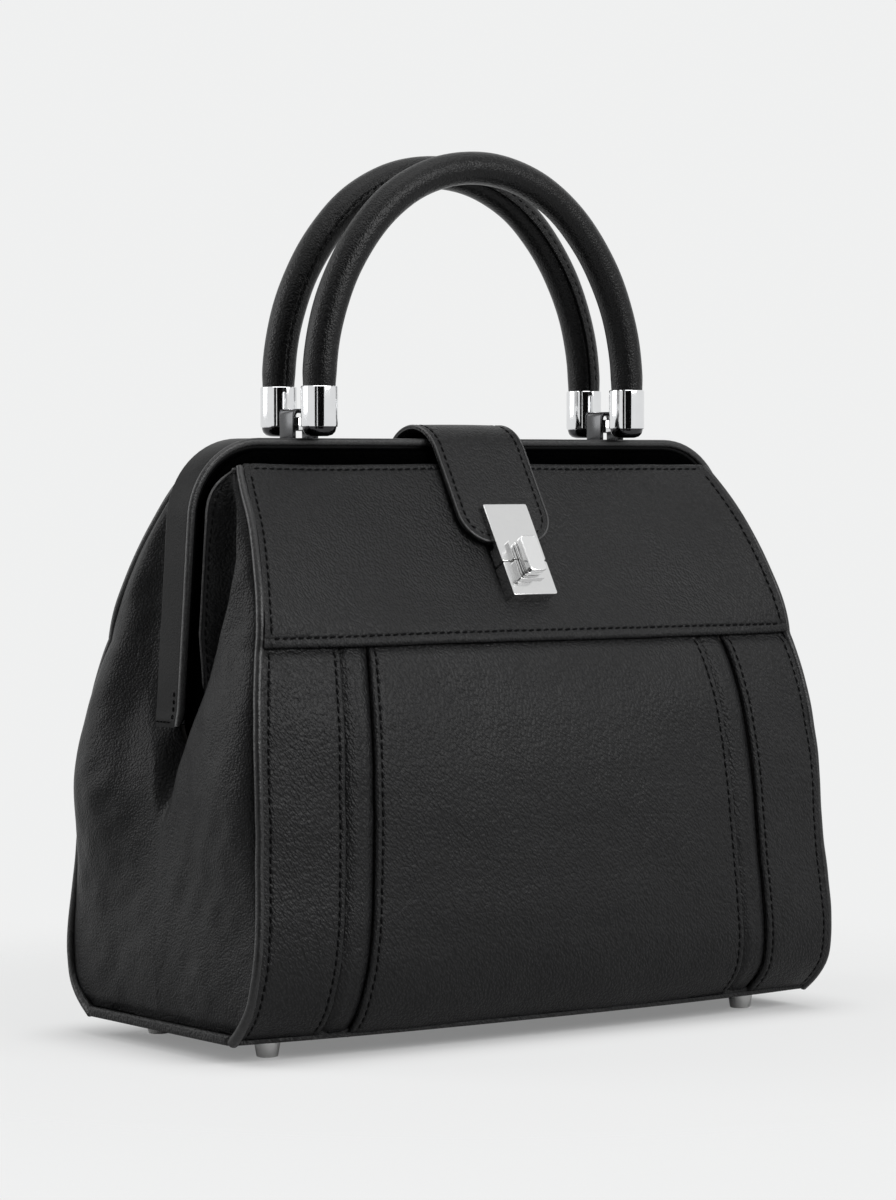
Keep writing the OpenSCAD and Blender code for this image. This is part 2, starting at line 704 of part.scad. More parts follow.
// A lug reaches from each cap to the pivot pin, beside the other handle's lug
lug_t = bracket_l / 2 - bracket_t - 2 * fit_gap;
lug_r = pivot_d / 2 + 0.8 * bracket_t;
module cap(side) {
    translate([0, side * handle_pitch / 2, cap_low]) difference() {
        rotate_extrude() polygon(concat(
            [[0, 0]],
            [for (i = [0 : ARC_STEPS]) let (a = 90 * i / ARC_STEPS - 90)
                [cap_d / 2 - cap_r + cap_r * cos(a), cap_r + cap_r * sin(a)]],
            [[cap_d / 2, cap_h], [0, cap_h]]));
        translate([0, 0, cap_floor - cap_low])
            cylinder(d = handle_d + 2 * fit_gap, h = cap_h);
    }
}

module lug(side) {
    reach = handle_pitch / 2 - cap_d / 4;
    translate([0, 0, pivot_z]) {
        along_x(side < 0 ? -lug_t - fit_gap : fit_gap, 0, 0) cylinder(r = lug_r, h = lug_t);
        translate([side < 0 ? -lug_t - fit_gap : fit_gap, side < 0 ? -reach : 0, -lug_r])
            cube([lug_t, reach, 2 * lug_r]);
    }
}

module handle_caps(side) {
    color("#d6d8da") both_sides() translate([leg_x, 0, 0]) difference() {
        union() {
            cap(side);
            lug(side);
        }
        along_x(-bracket_l, 0, pivot_z) cylinder(d = pivot_d + 2 * pin_gap, h = 2 * bracket_l);
    }
}

module front_handle_roll() { handle_roll(-1); }
module front_handle_core() { handle_core(-1); }
module front_handle_caps() { handle_caps(-1); }
module back_handle_roll() { handle_roll(1); }
module back_handle_core() { handle_core(1); }
module back_handle_caps() { handle_caps(1); }

// Strap: it lies along the slope of the front yoke, bends over the frame and is sewn to the back yoke
lean = atan2((seam_d - mouth_d) / 2, mouth_z - seam_z);
// Along the slope, the strap's middle lies off the line of the yoke by this much
strap_off = strap_t / 2 + 2 * move_gap;
slope_face = [mouth_d / 2 + move_gap, mouth_z];
// Where the two slopes of the strap would meet, and the centre of the bend below it
strap_apex_z = slope_face[1] + slope_face[0] / tan(lean) + strap_off / sin(lean);
// The bend is as wide as it can be while its inner face just clears the edges of the rear frame
bend_gap = strap_t / 2 + move_gap;
bend_k = 1 / sin(lean);
bend_m = strap_apex_z - frame_top;
bend_p = bend_k * bend_m - bend_gap;
strap_bend_r = (bend_p + sqrt(max(0, pow(bend_p, 2)
    - (pow(bend_k, 2) - 1) * (pow(frame_depth / 2, 2) + pow(bend_m, 2) - pow(bend_gap, 2)))))
    / (pow(bend_k, 2) - 1);
bend_z = strap_apex_z - strap_bend_r / sin(lean);
bend_turn = 90 - lean;
// The strap folds at this angle behind the top of its bend
fold_turn = 48;
strap_hinge = [(strap_bend_r + strap_t / 2) * sin(fold_turn),
    bend_z + (strap_bend_r + strap_t / 2) * cos(fold_turn)];

// Half of the strap's bend, from one angle to another, counted from the top towards the front
module bend_arc(from, to) {
    turns = steps(from, to, ARC_STEPS);
    back = steps(to, from, ARC_STEPS);
    points = concat(
        [for (a = turns) (strap_bend_r + strap_t / 2) * [-sin(a), cos(a)]],
        [for (a = back) (strap_bend_r - strap_t / 2) * [-sin(a), cos(a)]]);
    translate([-strap_w / 2, 0, bend_z]) rotate([90, 0, 90]) linear_extrude(strap_w) polygon(points);
}

// Flat end of the strap, along the slope: its far corners are round
module strap_end(length) {
    translate([0, -strap_bend_r * sin(bend_turn), bend_z + strap_bend_r * cos(bend_turn)])
        rotate([-lean, 0, 0]) translate([0, strap_t / 2, -length]) rotate([90, 0, 0])
            linear_extrude(strap_t) polygon(concat(
                [[-strap_w / 2, length]],
                fillet([-strap_w / 2, length], [-strap_w / 2, 0], [strap_w / 2, 0], strap_corner_r),
                fillet([-strap_w / 2, 0], [strap_w / 2, 0], [strap_w / 2, length], strap_corner_r),
                [[strap_w / 2, length]]));
}

module strap() {
    color("#202022") difference() {
        union() {
            bend_arc(-fold_turn, bend_turn);
            strap_end(strap_front_l);
        }
        lock_frame() strap_rivet_set(rivet_d / 2 + fit_gap, over);
    }
}

module strap_tail() {
    color("#202022") mirror([0, 1, 0]) {
        bend_arc(fold_turn, bend_turn);
        strap_end(strap_rear_l);
    }
}

// Lock: in its own frame, x across, y up along the slope from the joint of its two halves,
// and z away from the yoke, with zero on the yoke's face
lock_low = strap_front_l + plate_l * 0.34;
function slope_point(along, off) = [
    -strap_bend_r * sin(bend_turn) - along * sin(lean) - (off - strap_off) * cos(lean),
    bend_z + strap_bend_r * cos(bend_turn) - along * cos(lean) + (off - strap_off) * sin(lean)];
module lock_frame() {
    p = slope_point(lock_low, 0);
    translate([0, p[0], p[1]]) rotate([90 - lean, 0, 0]) children();
}
module lock_box(w, low, high, bottom, top) {
    translate([-w / 2, low, bottom]) cube([w, high - low, top - bottom]);
}

strap_top = strap_off + strap_t / 2;
strap_tip = lock_low - strap_front_l;
rivet_d = 2.4;
boss_h = knob_h * 0.3;
boss_over = knob_w / 2;
half_joint = 0.15;

module strap_rivet_set(r, extra) {
    for (sx = [-1, 1])
        translate([sx * lock_w / 4, lerp(strap_tip, plate_l, 0.6), strap_top - strap_t - extra])
            cylinder(r = r, h = strap_t + 2 * extra);
}

module strap_rivets() { color("#c9cbcd") lock_frame() strap_rivet_set(rivet_d / 2, 0); }

module lock_plate() {
    color("#d9dadb") lock_frame() difference() {
        union() {
            lock_box(lock_w, half_joint, plate_l, strap_top, strap_top + plate_t);
            lock_box(lock_w, half_joint, strap_tip - move_gap, move_gap, strap_top + plate_t);
            lock_box(knob_w, half_joint, knob_l / 2, strap_top + plate_t, lock_top + boss_h);
            lock_box(knob_w, -boss_over, half_joint, lock_top + move_gap, lock_top + boss_h);
        }
        translate([0, 0, lock_top - over]) cylinder(d = spindle_d + 2 * pin_gap, h = boss_h + 2 * over);
    }
}
lock_top = strap_top + plate_t;
spindle_d = 2.4;

module lock_screw_holes() {
    for (sx = [-1, 1]) translate([sx * lock_w / 4, -block_l / 2, -leather_t * 2])
        cylinder(d = rivet_d + 2 * fit_gap, h = leather_t * 2 + lock_top / 2 + fit_gap);
}

module lock_block() {
    color("#d9dadb") lock_frame() difference() {
        union() {
            lock_box(lock_w, -block_l, -half_joint, move_gap / 2, lock_top);
            lock_box(knob_w, -knob_l / 2, -boss_over - move_gap, lock_top, lock_top + boss_h);
        }
        lock_screw_holes();
    }
}

module lock_screws() {
    head_t = rivet_d / 3;
    low = -leather_t * cos(lean) - head_t - pin_gap;
    color("#a8a49a") lock_frame() for (sx = [-1, 1])
        translate([sx * lock_w / 4, -block_l / 2, low]) {
            cylinder(d = 2 * rivet_d, h = head_t);
            cylinder(d = rivet_d, h = lock_top / 2 - low);
        }
}

// Knob: a spindle, a stem and a rounded cap
module lock_knob() {
    stem_low = lock_top + boss_h + move_gap / 2;
    cap_t = knob_h * 0.36;
    top = lock_top + knob_h;
    cap_corner = knob_w / 5;
    color("#dddedf") lock_frame() {
        translate([0, 0, lock_top + move_gap]) cylinder(d = spindle_d, h = stem_low - lock_top);
        lock_box(knob_w * 0.62, -knob_l * 0.4, knob_l * 0.4, stem_low, top - cap_t);
        translate([0, 0, top - cap_t]) linear_extrude(cap_t) hull()
            for (sx = [-1, 1], sy = [-1, 1])
                translate([sx * (knob_w / 2 - cap_corner), sy * (knob_l / 2 - cap_corner)])
                    circle(cap_corner, $fn = HULL_FN);
    }
}

base_panel();
base_board();
feet();
foot_nuts();
front_centre_panel();
front_side_panels();
front_strips();
front_yoke();
back_centre_panel();
back_side_panels();
back_strips();
back_yoke();
left_gusset();
right_gusset();
front_gusset_flaps();
corner_piping();
lining();
rear_frame_cover();
rear_frame_core();
front_frame_cover();
front_frame_core();
hinge_pins();
hinge_bushes();
brackets();
pivot_pins();
front_handle_roll();
front_handle_core();
front_handle_caps();
back_handle_roll();
back_handle_core();
back_handle_caps();
strap();
strap_tail();
strap_rivets();
lock_plate();
lock_block();
lock_screws();
lock_knob();
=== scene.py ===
import math
import bmesh
import bpy
import numpy as np
from mathutils import Matrix, Vector


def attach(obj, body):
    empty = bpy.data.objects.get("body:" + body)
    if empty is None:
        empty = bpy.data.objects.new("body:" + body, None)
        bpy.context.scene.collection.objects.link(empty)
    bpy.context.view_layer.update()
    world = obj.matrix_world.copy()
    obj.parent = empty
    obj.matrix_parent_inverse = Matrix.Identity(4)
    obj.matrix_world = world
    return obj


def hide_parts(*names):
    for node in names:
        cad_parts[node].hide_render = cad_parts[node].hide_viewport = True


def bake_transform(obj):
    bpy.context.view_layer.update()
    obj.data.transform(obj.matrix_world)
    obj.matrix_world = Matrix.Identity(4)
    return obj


# The looks of the top handle bag. Shapes are in millimetres; build() turns them to metres.
# Front is side -1 and back side 1; left is sx -1 and right sx 1.

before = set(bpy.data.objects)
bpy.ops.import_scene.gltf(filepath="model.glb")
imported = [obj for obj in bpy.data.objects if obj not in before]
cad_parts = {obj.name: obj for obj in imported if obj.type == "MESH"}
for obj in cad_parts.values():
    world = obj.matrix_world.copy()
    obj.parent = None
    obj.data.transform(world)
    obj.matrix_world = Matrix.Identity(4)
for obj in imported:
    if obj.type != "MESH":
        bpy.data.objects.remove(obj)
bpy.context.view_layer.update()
MM = 0.001


# ---- shape of the body
def clamp(v):
    return np.clip(v, 0.0, 1.0)


def mix(a, b, t):
    return a + (b - a) * t


def ease(v):
    t = clamp(v)
    return t * t * (3 - 2 * t)


def bump_at(v, centre, width):
    return np.exp(-(((v - centre) / width) ** 2))


# As in the CAD: heights, and the width and depths at hem, belly and seam and at the mouth
HEM, BELLY, SEAM, MOUTH = 8.0, 62.0, 154.0, 224.2
WIDTHS, MOUTH_W = (277, 282, 258), 227
EDGE_DEPTHS, MIDDLE_DEPTHS, MOUTH_D = (105, 131, 104), (120, 146, 112), 29
# The frame: its top, the feet of its arms, the handles' pins and the radius of its corners
TOP, ARM_LOW = 233.0, 123.1
PIVOT, ARCH_R = TOP + 5.6, 32.0
ARM_LINE = [(118, 136.9), (125.5, 136.7), (150, 135.2), (171, 133.8), (195, 132.3), (233, 129.6)]


def swell(z, hem, belly, seam):
    low = clamp((BELLY - z) / (BELLY - HEM)) ** 2.5
    high = clamp((z - BELLY) / (SEAM - BELLY)) ** 2.4
    return belly - (belly - hem) * low - (belly - seam) * high


def yoke_share(z):
    return clamp((z - SEAM) / (MOUTH - SEAM))


def curve(v, knots):
    """Smooth curve through knots (place, value)."""
    at, value = np.array(knots, float).T
    slope = np.gradient(value, at)
    v = np.clip(v, at[0], at[-1])
    i = np.clip(np.searchsorted(at, v) - 1, 0, len(at) - 2)
    h = at[i + 1] - at[i]
    t = (v - at[i]) / h
    return ((2 * t**3 - 3 * t**2 + 1) * value[i] + (t**3 - 2 * t**2 + t) * h * slope[i]
            + (3 * t**2 - 2 * t**3) * value[i + 1] + (t**3 - t**2) * h * slope[i + 1])


# The soft leather's own form: what it adds to the CAD's half width, depth at the corners and
# depth in the middle, as (height, millimetres)
WIDER = [(8, 2.2), (20, 2.0), (37, -0.2), (52, -1.8), (75, -3.3), (88, -3.4), (100, -2.6),
         (118, -1.5), (135, -0.2), (155, 0.9), (182, 0.0), (205, -1.0), (224, -0.8)]
DEEPER = [(8, -1.2), (13, 2.2), (20, 4.9), (30, 4.9), (40, 3.9), (54, 2.0), (75, 0.0), (100, 0.0),
          (118, 0.3), (135, 0.8), (155, 1.5), (182, 0.8), (205, 2.0), (224, 1.2)]
FULLER = [(8, 0.0), (16, 2.2), (28, 2.4), (45, 1.0), (62, 0.0), (154, 0.0)]


def half_w(z):
    z = np.asarray(z, float)
    high = mix(MOUTH_W, WIDTHS[2], (1 - yoke_share(z)) ** 0.55)
    return np.where(z <= SEAM, swell(z, *WIDTHS), high) / 2 + curve(z, WIDER)


def edge_depth(z):
    z = np.asarray(z, float)
    high = mix(MOUTH_D, EDGE_DEPTHS[2], np.cos(np.radians(90 * yoke_share(z))))
    return np.where(z <= SEAM, swell(z, *EDGE_DEPTHS), high) / 2 + curve(z, DEEPER)


def middle_depth(z):
    z = np.asarray(z, float)
    high = mix(MIDDLE_DEPTHS[2], MOUTH_D, yoke_share(z))
    return np.where(z <= SEAM, swell(z, *MIDDLE_DEPTHS), high) / 2 + curve(z, FULLER)


def wall_depth(x, z):
    share = np.minimum(1, np.abs(x) / half_w(z))
    return mix(middle_depth(z), edge_depth(z), share**2.6)


def strip_x(z):
    """Where the centre panel ends and a recessed strip starts."""
    return half_w(z) * mix(0.655, 0.62, clamp((z - HEM) / (SEAM - HEM)))


def arm_x(z):
    return curve(z, ARM_LINE)


def face_x(z, side, top):
    """Face of a frame arm that lies side and top in from the frame's outline."""
    z = np.asarray(z, float)
    r = ARCH_R - max(side, top)
    low = TOP - top - r
    rounded = arm_x(low) - side - r + np.sqrt(np.maximum(0, r * r - (z - low) ** 2))
    return np.where(z <= low, arm_x(z) - side, rounded)


def waves(u, v, size, seed):
    """Soft irregular waves, about size long."""
    rng = np.random.default_rng(seed)
    total = 0
    for _ in range(8):
        a, k = rng.uniform(0, 2 * math.pi), 2 * math.pi / size * rng.uniform(0.55, 1.5)
        total = total + np.sin(k * (u * math.cos(a) + v * math.sin(a)) + rng.uniform(0, 6.28))
    return total / 4


def slack(x, z, side):
    """The walls' slight unevenness."""
    seed = 11 if side < 0 else 37
    return 0.4 * waves(x, z * 1.2, 70, seed) + 0.18 * waves(x, z, 26, seed + 1)


def wall(x, z, side, lift=0.0):
    """A point on the front (side -1) or back (side 1) wall, moved out by lift."""
    x, z = np.broadcast_arrays(np.asarray(x, float), np.asarray(z, float))
    e = 0.25
    w = wall_depth(x, z)
    wx = (wall_depth(x + e, z) - wall_depth(x - e, z)) / (2 * e)
    wz = (wall_depth(x, z + e) - wall_depth(x, z - e)) / (2 * e)
    n = np.stack([-wx, np.full_like(w, side), -wz], -1)
    n /= np.linalg.norm(n, axis=-1, keepdims=True)
    lift = np.broadcast_to(np.asarray(lift, float), w.shape)
    return np.stack([x, side * w, z], -1) + n * lift[..., None]


# ---- mesh makers, all give (points, faces)
def quads(idx):
    return np.stack([idx[:-1, :-1], idx[:-1, 1:], idx[1:, 1:], idx[1:, :-1]], -1).reshape(-1, 4)


def normals(p):
    n = np.cross(np.gradient(p, axis=1), np.gradient(p, axis=0))
    return n / np.maximum(np.linalg.norm(n, axis=-1, keepdims=True), 1e-9)


def shell(p, thick, hint):
    """Sheet on a grid of points, thickened inwards. hint is a direction that its outside faces."""
    if (normals(p) @ np.array(hint, float)).mean() < 0:
        p = p[:, ::-1]
    size = p.shape[0] * p.shape[1]
    idx = np.arange(size).reshape(p.shape[:2])
    points = np.concatenate([p.reshape(-1, 3), (p - normals(p) * thick).reshape(-1, 3)])
    ring = np.concatenate([idx[0, :-1], idx[:-1, -1], idx[-1, :0:-1], idx[:0:-1, 0]])
    after = np.roll(ring, -1)
    rim = np.stack([after, ring, ring + size, after + size], -1)
    return points, np.concatenate([quads(idx), quads(idx + size)[:, ::-1], rim]).tolist()


def outward(points, faces):
    """Turns all faces round if the closed mesh is inside out."""
    volume = 0.0
    for f in faces:
        a = points[f[0]]
        for i in range(1, len(f) - 1):
            volume += a @ np.cross(points[f[i]], points[f[i + 1]])
    return (points, faces) if volume > 0 else (points, [list(f)[::-1] for f in faces])


def sweep(rings, loop=False):
    """Closed skin through rings of points (path, round, 3)."""
    rings = np.asarray(rings, float)
    n, k = rings.shape[:2]
    idx = np.arange(n * k).reshape(n, k)
    if loop:
        idx = np.concatenate([idx, idx[:1]])
    wrapped = np.concatenate([idx, idx[:, :1]], 1)
    faces = quads(wrapped).tolist()
    if not loop:
        faces += [list(range(k))[::-1], list(range((n - 1) * k, n * k))]
    return outward(rings.reshape(-1, 3), faces)


def tube(line, across, up, r, sides=8, loop=False):
    """Bead of radius r along a line; across and up are its two directions at each point."""
    turn = np.arange(sides) / sides * 2 * math.pi
    rings = [[p + r * (math.cos(a) * f + math.sin(a) * u) for a in turn]
             for p, f, u in zip(line, across, up)]
    return sweep(np.array(rings), loop)


def unit(v):
    return v / np.linalg.norm(v, axis=1, keepdims=True)


def lathe(profile, centre, sides=48):
    turn = np.arange(sides) / sides * 2 * math.pi
    rings = [np.stack([centre[0] + r * np.cos(turn), centre[1] + r * np.sin(turn),
                       np.full(sides, centre[2] + z)], -1) for r, z in profile]
    return sweep(rings)


def prism(outline, low, high, bevel=0.3, segments=3):
    """Upright prism with rounded arrises."""
    bm = bmesh.new()
    lower = [bm.verts.new((x, y, low)) for x, y in outline]
    upper = [bm.verts.new((x, y, high)) for x, y in outline]
    bm.faces.new(lower[::-1])
    bm.faces.new(upper)
    for i in range(len(outline)):
        j = (i + 1) % len(outline)
        bm.faces.new((lower[i], lower[j], upper[j], upper[i]))
    bmesh.ops.recalc_face_normals(bm, faces=bm.faces)
    sharp = [e for e in bm.edges if e.calc_face_angle(0) > math.radians(28)]
    bmesh.ops.bevel(bm, geom=sharp, offset=bevel, segments=segments, profile=0.5,
                    affect="EDGES", clamp_overlap=True)
    bm.verts.index_update()
    points = np.array([v.co[:] for v in bm.verts])
    faces = [[v.index for v in f.verts] for f in bm.faces]
    bm.free()
    return outward(points, faces)


def moved(part, matrix):
    points = np.asarray(part[0], float)
    m = np.array(matrix, float)
    return outward(points @ m[:3, :3].T + m[:3, 3], part[1])


def round_rect(w, h, r, steps):
    out = []
    for cx, cy, a0 in ((w / 2 - r, h / 2 - r, 0), (r - w / 2, h / 2 - r, 90),
                       (r - w / 2, r - h / 2, 180), (w / 2 - r, r - h / 2, 270)):
        for i in range(steps + 1):
            a = math.radians(a0 + 90 * i / steps)
            out.append((cx + r * math.cos(a), cy + r * math.sin(a)))
    return out


def build(name, parts, mat, sharp=38):
    points, faces, base = [], [], 0
    for p, f in parts:
        points.append(np.asarray(p, float))
        faces += [[i + base for i in q] for q in f]
        base += len(p)
    mesh = bpy.data.meshes.new(name)
    mesh.from_pydata((np.concatenate(points) * MM).tolist(), [], faces)
    mesh.update()
    mesh.shade_smooth()
    mesh.set_sharp_from_angle(angle=math.radians(sharp))
    mesh.materials.append(mat)
    obj = bpy.data.objects.new(name, mesh)
    bpy.context.scene.collection.objects.link(obj)
    return obj


def resample(line, count):
    """Points along a line, evenly for a number and else at the given shares; and its length."""
    line = np.asarray(line, float)
    length = np.concatenate([[0], np.cumsum(np.linalg.norm(np.diff(line[:, :3], axis=0), axis=1))])
    at = np.linspace(0, length[-1], count) if np.isscalar(count) else count * length[-1]
    even = np.stack([np.interp(at, length, column) for column in line.T], -1)
    return even, length[-1]


SLANT = math.radians(9)


def stitches(line, out, pitch=3.6, long=2.85, r=0.4):
    """Slanted stitches along a line of points; out are the directions away from the leather."""
    both = np.concatenate([np.asarray(line, float), np.asarray(out, float)], 1)
    total = np.linalg.norm(np.diff(both[:, :3], axis=0), axis=1).sum()
    count = max(1, int(round(total / pitch)))
    shares = (np.arange(count) + 0.5) / count
    mid, _ = resample(both, shares)
    ahead, _ = resample(both, np.minimum(1, shares + 0.25 / count))
    back, _ = resample(both, np.maximum(0, shares - 0.25 / count))
    t, n = unit(ahead[:, :3] - back[:, :3]), unit(mid[:, 3:])
    b = np.cross(n, t)
    u = t * math.cos(SLANT) + b * math.sin(SLANT)
    v = b * math.cos(SLANT) - t * math.sin(SLANT)
    along = np.array([-0.5, -0.46, -0.36, -0.15, 0.15, 0.36, 0.46, 0.5])
    fat = np.array([0.25, 0.62, 0.9, 1, 1, 0.9, 0.62, 0.25])
    dive = -1.5 * np.abs(along * 1.6) ** 3
    sides = 7
    turn = np.arange(sides) / sides * 2 * math.pi
    ring = np.stack([np.cos(turn), np.sin(turn)], -1)
    local = np.array([[along[i] * long, fat[i] * r * c,
                       dive[i] * r + fat[i] * r * 0.8 * s - 0.1 - 0.1 * r]
                      for i in range(8) for c, s in ring])
    points = (mid[:, None, :3] + local[None, :, 0:1] * u[:, None] + local[None, :, 1:2] * v[:, None]
              + local[None, :, 2:3] * n[:, None])
    _, faces = sweep(local.reshape(8, sides, 3))
    faces = [[i + 8 * sides * k for i in f] for k in range(count) for f in faces]
    return points.reshape(-1, 3), faces


ROLL_TURN = np.radians([-70, -35, 0, 22, 44, 62, 78, 90])
GROOVE_STEPS, GROOVE = (-1.1, -0.6, -0.3, 0, 0.3, 0.6, 1.1), 0.34


def steps_of(count, rolls=(0, 0), lines=(0, 0), r=1.2):
    """Steps across a sheet: (share of the low edge, share of the high edge, offset, lift).

    rolls says which edges are rolled in, with radius r; lines, how far in a stitched groove runs.
    """
    def edge(rolled, line):
        items = [(0, 0)]
        if rolled:
            items = [(r * (1 - math.cos(a)), r * (math.sin(a) - 1)) for a in ROLL_TURN]
        if line:
            items += [(line + k, -GROOVE * math.exp(-((k / 0.5) ** 2))) for k in GROOVE_STEPS]
        return items
    first, last = edge(rolls[0], lines[0]), edge(rolls[1], lines[1])
    m0, m1 = first[-1][0], last[-1][0]
    out = [(1, 0, d, h) for d, h in first]
    for i in range(1, count):
        s = i / count
        out.append((1 - s, s, m0 * (1 - s) - m1 * s, 0))
    out += [(0, 1, -d, h) for d, h in last[::-1]]
    return np.array(out, float)


DEEPEST = -3.4  # leather goes no further into the CAD's wall


def panel(side, x_low, x_high, z_low, z_high, cols, rows, lift, thick=1.1):
    """Sheet on a wall from x_low(z) to x_high(z), with its steps and its lift off the wall."""
    z = rows[:, 0] * z_low + rows[:, 1] * z_high + rows[:, 2]
    x = (cols[None, :, 0] * x_low(z)[:, None] + cols[None, :, 1] * x_high(z)[:, None]
         + cols[None, :, 2])
    z = np.broadcast_to(z[:, None], x.shape)
    out = cols[None, :, 3] + rows[:, None, 3] + lift(x, z) + slack(x, z, side)
    return shell(wall(x, z, side, np.maximum(out, DEEPEST)), thick, (0, side, 0))


def seam_on_wall(side, x, z, lift):
    x, z = np.broadcast_arrays(np.asarray(x, float), np.asarray(z, float))
    up = wall(x, z, side, lift + slack(x, z, side))
    return stitches(up, wall(x, z, side, 1 + lift + slack(x, z, side)) - up)


# ---- materials
def feed(tree, node, values):
    """Fills a node's inputs: an output of another node is linked, anything else is a constant."""
    for key, value in values.items():
        if isinstance(value, bpy.types.NodeSocket):
            tree.links.new(value, node.inputs[key])
        else:
            node.inputs[key].default_value = value
    return node


def add(tree, kind, values, way=None):
    """A new shader node with its inputs; way is the operation of a Math or VectorMath node."""
    node = tree.nodes.new("ShaderNode" + kind)
    if way:
        node.operation = way
    return feed(tree, node, values)


def object_place(tree):
    return tree.nodes.new("ShaderNodeTexCoord").outputs["Object"]


def noise(tree, at, scale, detail, rough=0.5, distort=0.0):
    return add(tree, "TexNoise", {"Vector": at, "Scale": scale, "Detail": detail,
                                  "Roughness": rough, "Distortion": distort})


def ranged(tree, value, from_min, from_max, to_min=0.0, to_max=1.0, smooth=False):
    node = add(tree, "MapRange", {"Value": value, "From Min": from_min, "From Max": from_max,
                                  "To Min": to_min, "To Max": to_max})
    if smooth:
        node.interpolation_type = "SMOOTHSTEP"
    return node.outputs["Result"]


def mixed(tree, a, b, factor, way="MIX"):
    node = tree.nodes.new("ShaderNodeMix")
    node.data_type, node.blend_type = "RGBA", way
    return feed(tree, node, {"A": a, "B": b, "Factor": factor}).outputs["Result"]


def bumped(tree, height, strength, distance, under=None, invert=False):
    """Bump of this strength and height in metres, over the bump under it."""
    node = add(tree, "Bump", {"Height": height, "Strength": strength, "Distance": distance})
    node.invert = invert
    if under:
        tree.links.new(under, node.inputs["Normal"])
    return node.outputs["Normal"]


def new_material(name):
    mat = bpy.data.materials.new(name)
    mat.use_nodes = True
    return mat, mat.node_tree, mat.node_tree.nodes["Principled BSDF"]


WARP = 0.0011  # how far the pebbles are pushed about, in metres
WAVE_H, PEBBLE_H, PORE_H = 0.0010, 0.00034, 0.00012
LAY_ANGLE = math.radians(-32)  # the lean of the long pebbles
PALER = (2.6, 2.5, 2.45)  # worn edges against the leather's own colour
# How dark the painted shade in the pebbles' creases is
CREASE_SHADE = (0.5, 0.5, 0.5, 1)


def leather(name, base, rough, grain=1050.0, pebble=0.5, broad=0.35, pores=0.25, wear=0.5,
            spec=0.16, lay=0.0):
    """Black calf: irregular pebbles with painted shade in their creases, fine pores, broad soft
    waves and slightly paler worn edges.
    """
    mat, tree, shader = new_material(name)
    place = object_place(tree)
    warp = noise(tree, place, grain * 0.45, 2)
    shift = add(tree, "VectorMath", {0: warp.outputs["Color"], 1: (WARP, WARP, WARP), 2: place},
                "MULTIPLY_ADD")
    slant = tree.nodes.new("ShaderNodeMapping")
    slant.vector_type = "TEXTURE"
    feed(tree, slant, {"Vector": shift.outputs[0], "Rotation": (0, LAY_ANGLE, 0),
                       "Scale": (1, 1, 1 + lay)})
    cell = tree.nodes.new("ShaderNodeTexVoronoi")
    cell.feature = "SMOOTH_F1"
    feed(tree, cell, {"Vector": slant.outputs["Vector"], "Scale": grain, "Smoothness": 0.55})
    cells = cell.outputs["Distance"]
    fine = noise(tree, place, grain * 2.6, 4, 0.6).outputs["Fac"]
    wide = noise(tree, place, 95, 5, 0.55, 0.6).outputs["Fac"]
    cloud = noise(tree, place, 22, 3).outputs["Fac"]
    normal = bumped(tree, wide, broad, WAVE_H)
    normal = bumped(tree, cells, pebble, PEBBLE_H, normal, invert=True)
    normal = bumped(tree, fine, pores, PORE_H, normal)
    point = tree.nodes.new("ShaderNodeNewGeometry").outputs["Pointiness"]
    worn = ranged(tree, point, 0.52, 0.66, 0.0, wear)
    rub = add(tree, "Math", {0: worn, 1: wide}, "MULTIPLY").outputs[0]
    paler = (*[c * k for c, k in zip(base, PALER)], 1)
    colour = mixed(tree, (*base, 1), paler, rub)
    # Painted shade: the leather is darker in the creases between pebbles
    colour = mixed(tree, colour, CREASE_SHADE, ranged(tree, cells, 0.12, 0.62), "MULTIPLY")
    feed(tree, shader, {"Base Color": colour, "Normal": normal, "Specular IOR Level": spec,
                        "Roughness": ranged(tree, cloud, 0.3, 0.7, rough - 0.05, rough + 0.06)})
    return mat


SCRATCH_H = 0.00005


def metal(name, base, rough, vary=0.04, scratch=0.08, scale=900.0, stretch=(1, 1, 1)):
    mat, tree, shader = new_material(name)
    place = object_place(tree)
    along = add(tree, "Mapping", {"Vector": place, "Scale": stretch}).outputs["Vector"]
    fine = noise(tree, along, scale, 3).outputs["Fac"]
    wide = noise(tree, place, 160, 4).outputs["Fac"]
    dull = (base[0] * 0.86, base[1] * 0.86, base[2] * 0.87, 1)
    feed(tree, shader, {"Metallic": 1.0, "Base Color": mixed(tree, (*base, 1), dull, wide),
                        "Roughness": ranged(tree, wide, 0.3, 0.7, rough - vary / 2, rough + vary),
                        "Normal": bumped(tree, fine, scratch, SCRATCH_H)})
    return mat


def plain(name, low, high, rough, scale, bump_height=0.0002, strength=0.5, spec=0.3):
    """Thread, cloth, board or rope: fibres that vary in tone and height."""
    mat, tree, shader = new_material(name)
    fibre = noise(tree, object_place(tree), scale, 5).outputs["Fac"]
    feed(tree, shader, {"Base Color": mixed(tree, (*low, 1), (*high, 1), fibre),
                        "Roughness": rough, "Specular IOR Level": spec,
                        "Normal": bumped(tree, fibre, strength, bump_height)})
    return mat


